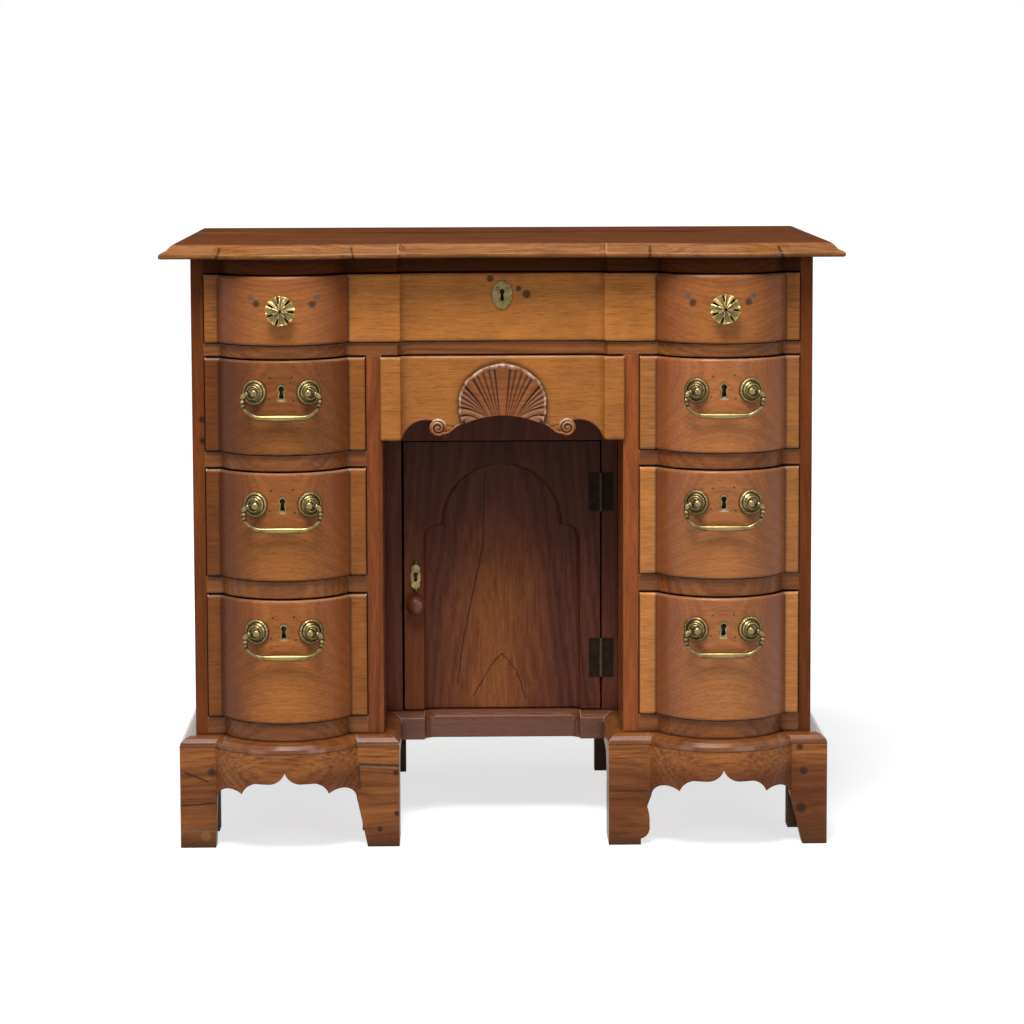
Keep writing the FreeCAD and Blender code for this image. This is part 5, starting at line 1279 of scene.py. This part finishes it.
class BUREAU_OT_rosettes(bpy.types.Operator):
    """Model the round plates behind the posts of the pulls, with their ribbed rims and buttons"""
    bl_idname = "bureau.rosettes"
    bl_label = "Model the plates"

    # Radius and height of the plate's rings, from its back edge over the rim to the neck of the post.
    PLATE = ((0.0158, -0.0014), (0.0160, 0.0008), (0.0159, 0.0020), (0.0155, 0.0028), (0.0148, 0.0036),
             (0.0140, 0.0040), (0.0131, 0.0038), (0.0125, 0.0032), (0.0118, 0.0028), (0.0109, 0.0030),
             (0.0102, 0.0042), (0.0096, 0.0062), (0.0091, 0.0074), (0.0084, 0.0081), (0.0075, 0.0082),
             (0.0067, 0.0078), (0.0060, 0.0074), (0.0033, 0.0074))
    BUTTON = ((0.0036, 0.0040), (0.0036, 0.0082), (0.0046, 0.0092), (0.0054, 0.0108), (0.0056, 0.0130),
              (0.0055, 0.0152), (0.0050, 0.0170), (0.0041, 0.0183), (0.0028, 0.0192), (0.0012, 0.0197),
              (0.0002, 0.0198))
    BUTTON_SIDES = 32
    # The ribbed rim lies between two radii, in front of the wood.
    RIM = (0.0126, 0.0158)
    RIM_FRONT = 0.001
    RIB_DEPTH = 0.0016
    RIB_COLUMNS = 6
    # The raised inner ring, and the neck of the button.
    RING_HEIGHT = 0.0070
    RING_RADII = (0.0068, 0.0098)
    NECK_HEIGHT = 0.0095

    def execute(self, context):
        sizes = context.scene.bureau_pulls
        plate = lathe("pull_plate", self.PLATE, self.RIB_COLUMNS * sizes.beads)
        inner, outer = self.RIM
        for point in plate.data.vertices:
            radius = math.hypot(point.co.x, point.co.z)
            if point.co.y < -self.RIM_FRONT and inner < radius < outer + 0.0001:
                depth = math.sin(math.pi * (radius - inner + 0.0004) / (outer - inner + 0.0008))
                point.co.y += self.RIB_DEPTH * depth * self.between_ribs(point.co, sizes.beads) ** 2
        measured_by(plate, hollow=lambda spot: self.shade(spot, sizes.beads), rubbed=self.rub_and_highlight)
        button = lathe("pull_button", self.BUTTON, self.BUTTON_SIDES)
        measured_by(button, hollow=lambda spot: 0.8 if -spot.y < self.NECK_HEIGHT else 0.1,
                    rubbed=lambda spot: 0.4)
        finish = brass("brass_pulls", shade=0.86)
        lean = math.asin(sizes.post_half / sizes.face_radius)
        pieces = {}
        for drawer in PEDESTAL_DRAWERS:
            pivot = joint_place(f"{drawer}_bail_swing")
            twins = []
            for side in SIDES.values():
                away = Vector((side * sizes.post_half, sizes.post_reach, 0))
                foot = Matrix.Translation(pivot + away)
                twins.append(copied(plate, "plate", foot @ Matrix.Rotation(side * lean, 4, "Z")))
                twins.append(copied(button, "button", foot))
            pieces[drawer] = joined(f"{drawer}_plates", twins)
        bpy.data.objects.remove(plate)
        bpy.data.objects.remove(button)
        for drawer, piece in pieces.items():
            dressed(piece, finish, drawer, "brass")
        return {"FINISHED"}

    def between_ribs(self, spot, beads):
        """0 on the crest of a rib, 1 between two."""
        return 0.5 - 0.5 * math.cos(beads * math.atan2(spot.z, spot.x))

    def rub_and_highlight(self, spot):
        """How bright the ribs, the inner ring and the rest of a plate are worn."""
        if math.hypot(spot.x, spot.z) > self.RIM[0]:
            return 1.0
        return 0.5 if -spot.y > self.RING_HEIGHT else 0.2

    def shade(self, spot, beads):
        """Patina between the ribs and in the hollow rings."""
        radius = math.hypot(spot.x, spot.z)
        inner, outer = self.RIM
        if inner < radius < outer and spot.y < -self.RIM_FRONT:
            return 1.3 * self.between_ribs(spot, beads)
        if self.RING_RADII[1] < radius <= inner:
            return 0.75
        return 0.9 if radius < self.RING_RADII[0] else 0.05


class BUREAU_OT_bails(bpy.types.Operator):
    """Model the swinging bails with their leafy ends and swelling grips"""
    bl_idname = "bureau.bails"
    bl_label = "Model the bails"

    # One half of a bail from its end to the middle of its grip: beside the middle, below the axis, radius.
    HALF = ((0.0402, 0.0002, 0.0023), (0.0414, 0.0004, 0.0031), (0.0430, 0.0008, 0.0037),
            (0.0444, 0.0014, 0.0031), (0.0456, 0.0022, 0.0036), (0.0470, 0.0036, 0.0040),
            (0.0479, 0.0058, 0.0034), (0.0483, 0.0078, 0.0026), (0.0483, 0.0095, 0.0033),
            (0.0481, 0.0111, 0.0035), (0.0478, 0.0126, 0.0026), (0.0475, 0.0140, 0.0032),
            (0.0472, 0.0155, 0.0033), (0.0468, 0.0168, 0.0023), (0.0464, 0.0182, 0.0026),
            (0.0457, 0.0196, 0.0020), (0.0440, 0.0218, 0.0022), (0.0412, 0.0244, 0.0023),
            (0.0380, 0.0267, 0.0024), (0.0346, 0.0286, 0.0026), (0.0310, 0.0300, 0.0029),
            (0.0270, 0.0306, 0.0032), (0.0220, 0.0308, 0.0034), (0.0150, 0.0310, 0.0037),
            (0.0075, 0.0311, 0.0039), (0.0, 0.0311, 0.0040))
    PIN_RADIUS = 0.0016
    PIN_LENGTH = 0.006
    # The leafy ends: their first stations, where they stop, the middle of their stems and their twist.
    LEAF_STATIONS = 16
    LEAF_BELOW = 0.019
    LEAF_BESIDE = 0.040
    STEM_BESIDE = 0.0475
    LEAF_TWIST = 900
    LEAF_LIFT = 0.10
    # The grip: how far below the axis it lies, and how fast its brightness fades from the middle.
    GRIP_BELOW = 0.02
    GRIP_FADE = 0.018
    # Radii under which a leafy end is a dark neck or a half dark one.
    NECK = 0.0028
    HALF_NECK = 0.0033

    def execute(self, context):
        half = [((x, 0.0, -below), radius) for x, below, radius in self.HALF]
        other = [((-x, y, z), radius) for (x, y, z), radius in half[-2::-1]]
        parts = [bar("bail_loop", flowing(half + other), resolution=5)]
        for side in SIDES.values():
            end = side * self.HALF[0][0]
            tip = end - side * self.PIN_LENGTH
            stations = [((x, 0, 0), self.PIN_RADIUS) for x in (end, tip)]
            parts.append(bar("bail_pin", stations, resolution=3))
        model = joined("bail_model", parts)
        for point in model.data.vertices:
            below = -point.co.z
            if abs(point.co.x) > self.LEAF_BESIDE and below < self.LEAF_BELOW:
                turn = math.atan2(point.co.y, abs(point.co.x) - self.STEM_BESIDE)
                point.co.y *= 1 + self.LEAF_LIFT * math.cos(3 * turn + below * self.LEAF_TWIST)
        measured_by(model, rubbed=self.rub_and_highlight, hollow=self.shade)
        finish = bpy.data.materials["brass_pulls"]
        for drawer in PEDESTAL_DRAWERS:
            pivot = joint_place(f"{drawer}_bail_swing")
            twin = copied(model, f"{drawer}_swinging_bail", Matrix.Translation(pivot))
            dressed(twin, finish, f"{drawer}_bail", "brass", f"{drawer}_bail")
        bpy.data.objects.remove(model)
        return {"FINISHED"}

    def rub_and_highlight(self, spot):
        """The grip, worn brightest in its middle."""
        return 1.5 - abs(spot.x) / self.GRIP_FADE if spot.z < -self.GRIP_BELOW else 0.15

    def shade(self, spot):
        """Patina in the necks of the leafy ends, where the bail is thin."""
        if abs(spot.x) > self.LEAF_BESIDE - 0.001 and spot.z > -self.LEAF_BELOW:
            leaf = self.HALF[:self.LEAF_STATIONS]
            near = min(leaf, key=lambda entry: math.hypot(entry[0] - abs(spot.x), entry[1] + spot.z))
            return 0.9 if near[2] < self.NECK else 0.45 if near[2] < self.HALF_NECK else 0.05
        return 0.1


class BUREAU_OT_flower_knobs(bpy.types.Operator):
    """Model the two flower-shaped knobs of the long drawer"""
    bl_idname = "bureau.flower_knobs"
    bl_label = "Model the flower knobs"

    # Radius, as a share of the flower's, and height of its rings from the shank over the back of the petals.
    BACK = ((0.105, -0.008), (0.105, -0.0004), (0.50, -0.0004), (0.48, 0.0022), (0.34, 0.0045),
            (0.32, 0.0080), (0.42, 0.0098), (0.62, 0.0108), (0.82, 0.0112), (0.95, 0.0122))
    # The domed face: its rings, the share of the radius that they stop at, its height and its fall.
    FACE_RINGS = 22
    FACE_INNER = 0.015
    FACE_HEIGHT = 0.0203
    FACE_FALL = 0.0062
    PETAL_COLUMNS = 16
    PETAL_BACK = 0.0095
    # Heights and depths of the petals' ridges, troughs, lips and gaps, and of the pit in the middle.
    RIDGE = 0.0009
    TROUGH = 0.0017
    LIP = 0.0007
    GAP_FRONT = 0.0030
    GAP_BACK = 0.0010
    PIT = 0.0022
    PIT_RADIUS = 0.085

    def face(self, share):
        """Height of the domed face of the flower."""
        return self.FACE_HEIGHT - self.FACE_FALL * share ** 1.7

    def shape_petal(self, spot, share, beside):
        """Move a point of the petals, some way out and beside a petal's middle; returns how dark it is."""
        gap = held((beside - 0.78) / 0.12) * held((share - 0.50) / 0.16)
        front = -spot.y > self.face(share) - 0.0003
        trough = max(0.0, 1 - (beside / 0.6) ** 2)
        shade = 0.2
        if front:
            ridge = math.exp(-((beside - 0.66) / 0.13) ** 2)
            grown = min(1.0, share / 0.5)
            lip = math.exp(-((share - 0.97) / 0.05) ** 2)
            spot.y -= (self.RIDGE * ridge - self.TROUGH * trough * (1 - 0.5 * lip)) * grown
            spot.y -= self.LIP * lip * (1 - gap)
            shade = 0.55 * trough * (1 - lip) + 0.15
        squeeze = 1 - 0.13 * gap - 0.03 * trough * (share > 0.9)
        spot.x *= squeeze
        spot.z *= squeeze
        spot.y += self.GAP_FRONT * gap if front else -self.GAP_BACK * gap
        if share < self.PIT_RADIUS:
            spot.y += self.PIT
            return 1.0
        return max(shade, gap)

    def execute(self, context):
        sizes = context.scene.bureau_pulls
        radius = sizes.knob_radius
        rings = list(self.BACK)
        for ring in range(self.FACE_RINGS + 1):
            share = 1 - (1 - self.FACE_INNER) * ring / self.FACE_RINGS
            rings.append((share, self.face(share)))
        profile = [(share * radius, out) for share, out in rings]
        flower = lathe("flower", profile, self.PETAL_COLUMNS * sizes.petals)
        shades = []
        for point in flower.data.vertices:
            share = math.hypot(point.co.x, point.co.z) / radius
            turn = (math.atan2(point.co.x, point.co.z) * sizes.petals / FULL_TURN + 0.2) % 1.0
            beside = abs(2 * turn - 1)
            on_petal = -point.co.y > self.PETAL_BACK
            shades.append(self.shape_petal(point.co, share, beside) if on_petal else 0.2)
        measured(flower, hollow=shades)
        measured_by(flower, rubbed=lambda spot: math.hypot(spot.x, spot.z) / radius)
        low, high = corners("long_drawer_knobs")
        twins = []
        for x in (low.x + radius, high.x - radius):
            spot = Vector((x, low.y + sizes.knob_depth, (low.z + high.z) / 2))
            twins.append(copied(flower, "flower_copy", Matrix.Translation(spot)))
        bpy.data.objects.remove(flower)
        knobs = joined("long_drawer_flower_knobs", twins)
        dressed(knobs, brass("brass_flowers", shade=1.5), "long_drawer", "brass", "long_drawer_knobs")
        return {"FINISHED"}


class BUREAU_OT_finials(bpy.types.Operator):
    """Model the two small bosses above and below the door's escutcheon"""
    bl_idname = "bureau.finials"
    bl_label = "Model the finials"

    # Radius and height of a boss's rings, and its place above or below the middle of the lock.
    PROFILE = ((0.0030, -0.0004), (0.0030, 0.0007), (0.0026, 0.0015), (0.0015, 0.0019), (0.0003, 0.0020))
    SIDES_ROUND = 24
    AWAY = 0.0185

    def execute(self, context):
        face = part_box("door_panel")[0][1]
        boss = lathe("finial", self.PROFILE, self.SIDES_ROUND)
        measured_by(boss, hollow=lambda spot: 0.7, rubbed=lambda spot: 0.0)
        twins = []
        for side in SIDES.values():
            spot = Vector((middle("door_knob").x, face, middle("door_lock").z + side * self.AWAY))
            twins.append(copied(boss, "finial_copy", Matrix.Translation(spot)))
        bpy.data.objects.remove(boss)
        dressed(joined("door_finials", twins), bpy.data.materials["brass_pulls"], "door", "brass")
        return {"FINISHED"}


class BUREAU_OT_stage(bpy.types.Operator):
    """Set up the floor, the lamps and the camera"""
    bl_idname = "bureau.stage"
    bl_label = "Set the stage"

    WHITE = (1.0, 1.0, 1.0, 1.0)
    GREY = (0.5, 0.5, 0.5, 1.0)
    FLOOR_SIZE = 40
    SENSOR_WIDTH = 36
    LAMP_AIM = (0, CASE_FRONT, 0.40)
    # Where each lamp hangs, beside the middle, in front of the case and above the floor, and its width.
    LAMPS = {"key": (-0.35, 1.5, 3.3, 1.3), "left": (-2.4, 2.4, 1.6, 1.4), "fill": (2.2, 2.8, 1.6, 1.6),
             "overhead": (0, 0.2, 3.2, 1.6)}

    def execute(self, context):
        sizes = context.scene.bureau_stage
        self.lay_floor()
        self.light_surroundings(context.scene, sizes.ambient)
        for name, (x, before, height, width) in self.LAMPS.items():
            self.hang_lamp(f"{name}_lamp", (x, CASE_FRONT - before, height), width, getattr(sizes, name))
        self.set_camera(context, sizes)
        context.scene.view_settings.view_transform = "Standard"
        return {"FINISHED"}

    def node_of(self, tree, kind):
        """The node of a kind that a tree already has."""
        return next(item for item in tree.nodes if item.bl_idname == kind)

    def plainly_seen(self, tree):
        """1 for rays from the camera and for those that polish or glass sends on, else 0."""
        path = place(tree, "ShaderNodeLightPath").outputs
        seen = plus(tree, path["Is Camera Ray"], path["Is Transmission Ray"])
        return plus(tree, seen, path["Is Glossy Ray"], clamp=True)

    def lay_floor(self):
        """A pale floor that is white away from the object and keeps the object's shadow."""
        clear_selection()
        bpy.ops.mesh.primitive_plane_add(size=self.FLOOR_SIZE, location=(0, 0, 0))
        floor = named("studio_floor")
        material, tree, shader = new_material("pale_floor")
        shader.inputs["Base Color"].default_value = self.GREY
        shader.inputs["Roughness"].default_value = 0.9
        shader.inputs["Specular IOR Level"].default_value = 0.0
        away = vectors(tree, "LENGTH", own_coords(tree))
        strength = times(tree, self.plainly_seen(tree), ranged(tree, away, 0.75, 1.5, 0.70, 1.0))
        glow = place(tree, "ShaderNodeEmission", {"Color": self.WHITE, "Strength": strength})
        both = place(tree, "ShaderNodeAddShader", {0: shader.outputs[0], 1: glow.outputs[0]})
        tree.links.new(both.outputs[0], self.node_of(tree, "ShaderNodeOutputMaterial").inputs["Surface"])
        floor.data.materials.append(material)

    def light_surroundings(self, scene, ambient):
        """Surroundings that look white and light the object softly."""
        world = bpy.data.worlds.new("studio")
        world.use_nodes = True
        sky = world.node_tree
        background = self.node_of(sky, "ShaderNodeBackground")
        background.inputs["Color"].default_value = self.WHITE
        strength = ranged(sky, self.plainly_seen(sky), 0.0, 1.0, ambient, 1.0)
        sky.links.new(strength, background.inputs["Strength"])
        scene.world = world

    def hang_lamp(self, name, spot, width, power):
        """A square lamp that looks at the middle of the front."""
        clear_selection()
        bpy.ops.object.light_add(type="AREA", location=spot)
        lamp = bpy.context.object
        lamp.name = name
        lamp.data.shape = "SQUARE"
        lamp.data.size = width
        lamp.data.energy = power
        lamp.rotation_euler = (Vector(self.LAMP_AIM) - Vector(spot)).to_track_quat("-Z", "Y").to_euler()

    def set_camera(self, context, sizes):
        """The camera, a little above the top and left of the middle."""
        clear_selection()
        bpy.ops.object.camera_add()
        camera = context.object
        camera.name = "photo_camera"
        spot = Vector((sizes.side, CASE_FRONT - sizes.distance, sizes.height))
        aim = (Matrix.Rotation(-sizes.turn, 4, "Z") @ Matrix.Rotation(math.pi / 2 - sizes.tilt, 4, "X")
               @ Matrix.Rotation(sizes.roll, 4, "Z"))
        camera.matrix_world = Matrix.Translation(spot) @ aim
        camera.data.lens = sizes.lens
        camera.data.sensor_width = self.SENSOR_WIDTH
        camera.data.shift_y = sizes.rise
        camera.data.clip_end = 100
        context.scene.camera = camera


class BUREAU_PT_panel(bpy.types.Panel):
    """Lists the steps that dress the bureau table"""
    bl_idname = "BUREAU_PT_panel"
    bl_label = "Bureau table"
    bl_space_type = "VIEW_3D"
    bl_region_type = "UI"
    bl_category = "Bureau"

    def draw(self, context):
        for operator in OPERATORS:
            self.layout.operator(operator.bl_idname)


OPERATORS = (BUREAU_OT_case_finish, BUREAU_OT_front_finish, BUREAU_OT_metal_finish, BUREAU_OT_shell,
             BUREAU_OT_scrolls, BUREAU_OT_rosettes, BUREAU_OT_bails, BUREAU_OT_flower_knobs,
             BUREAU_OT_finials, BUREAU_OT_stage)
SETTINGS = {"bureau_wood": WoodSettings, "bureau_brass": BrassSettings, "bureau_pulls": PullSettings,
            "bureau_carving": CarvingSettings, "bureau_stage": StageSettings}


def register():
    for made in (*SETTINGS.values(), *OPERATORS, BUREAU_PT_panel):
        bpy.utils.register_class(made)
    for name, made in SETTINGS.items():
        setattr(bpy.types.Scene, name, PointerProperty(type=made))


def unregister():
    for name in SETTINGS:
        delattr(bpy.types.Scene, name)
    for made in (BUREAU_PT_panel, *reversed(OPERATORS), *reversed(SETTINGS.values())):
        bpy.utils.unregister_class(made)


def main():
    register()
    for operator in OPERATORS:
        group, name = operator.bl_idname.split(".")
        getattr(getattr(bpy.ops, group), name)()


if __name__ == "__main__":
    main()
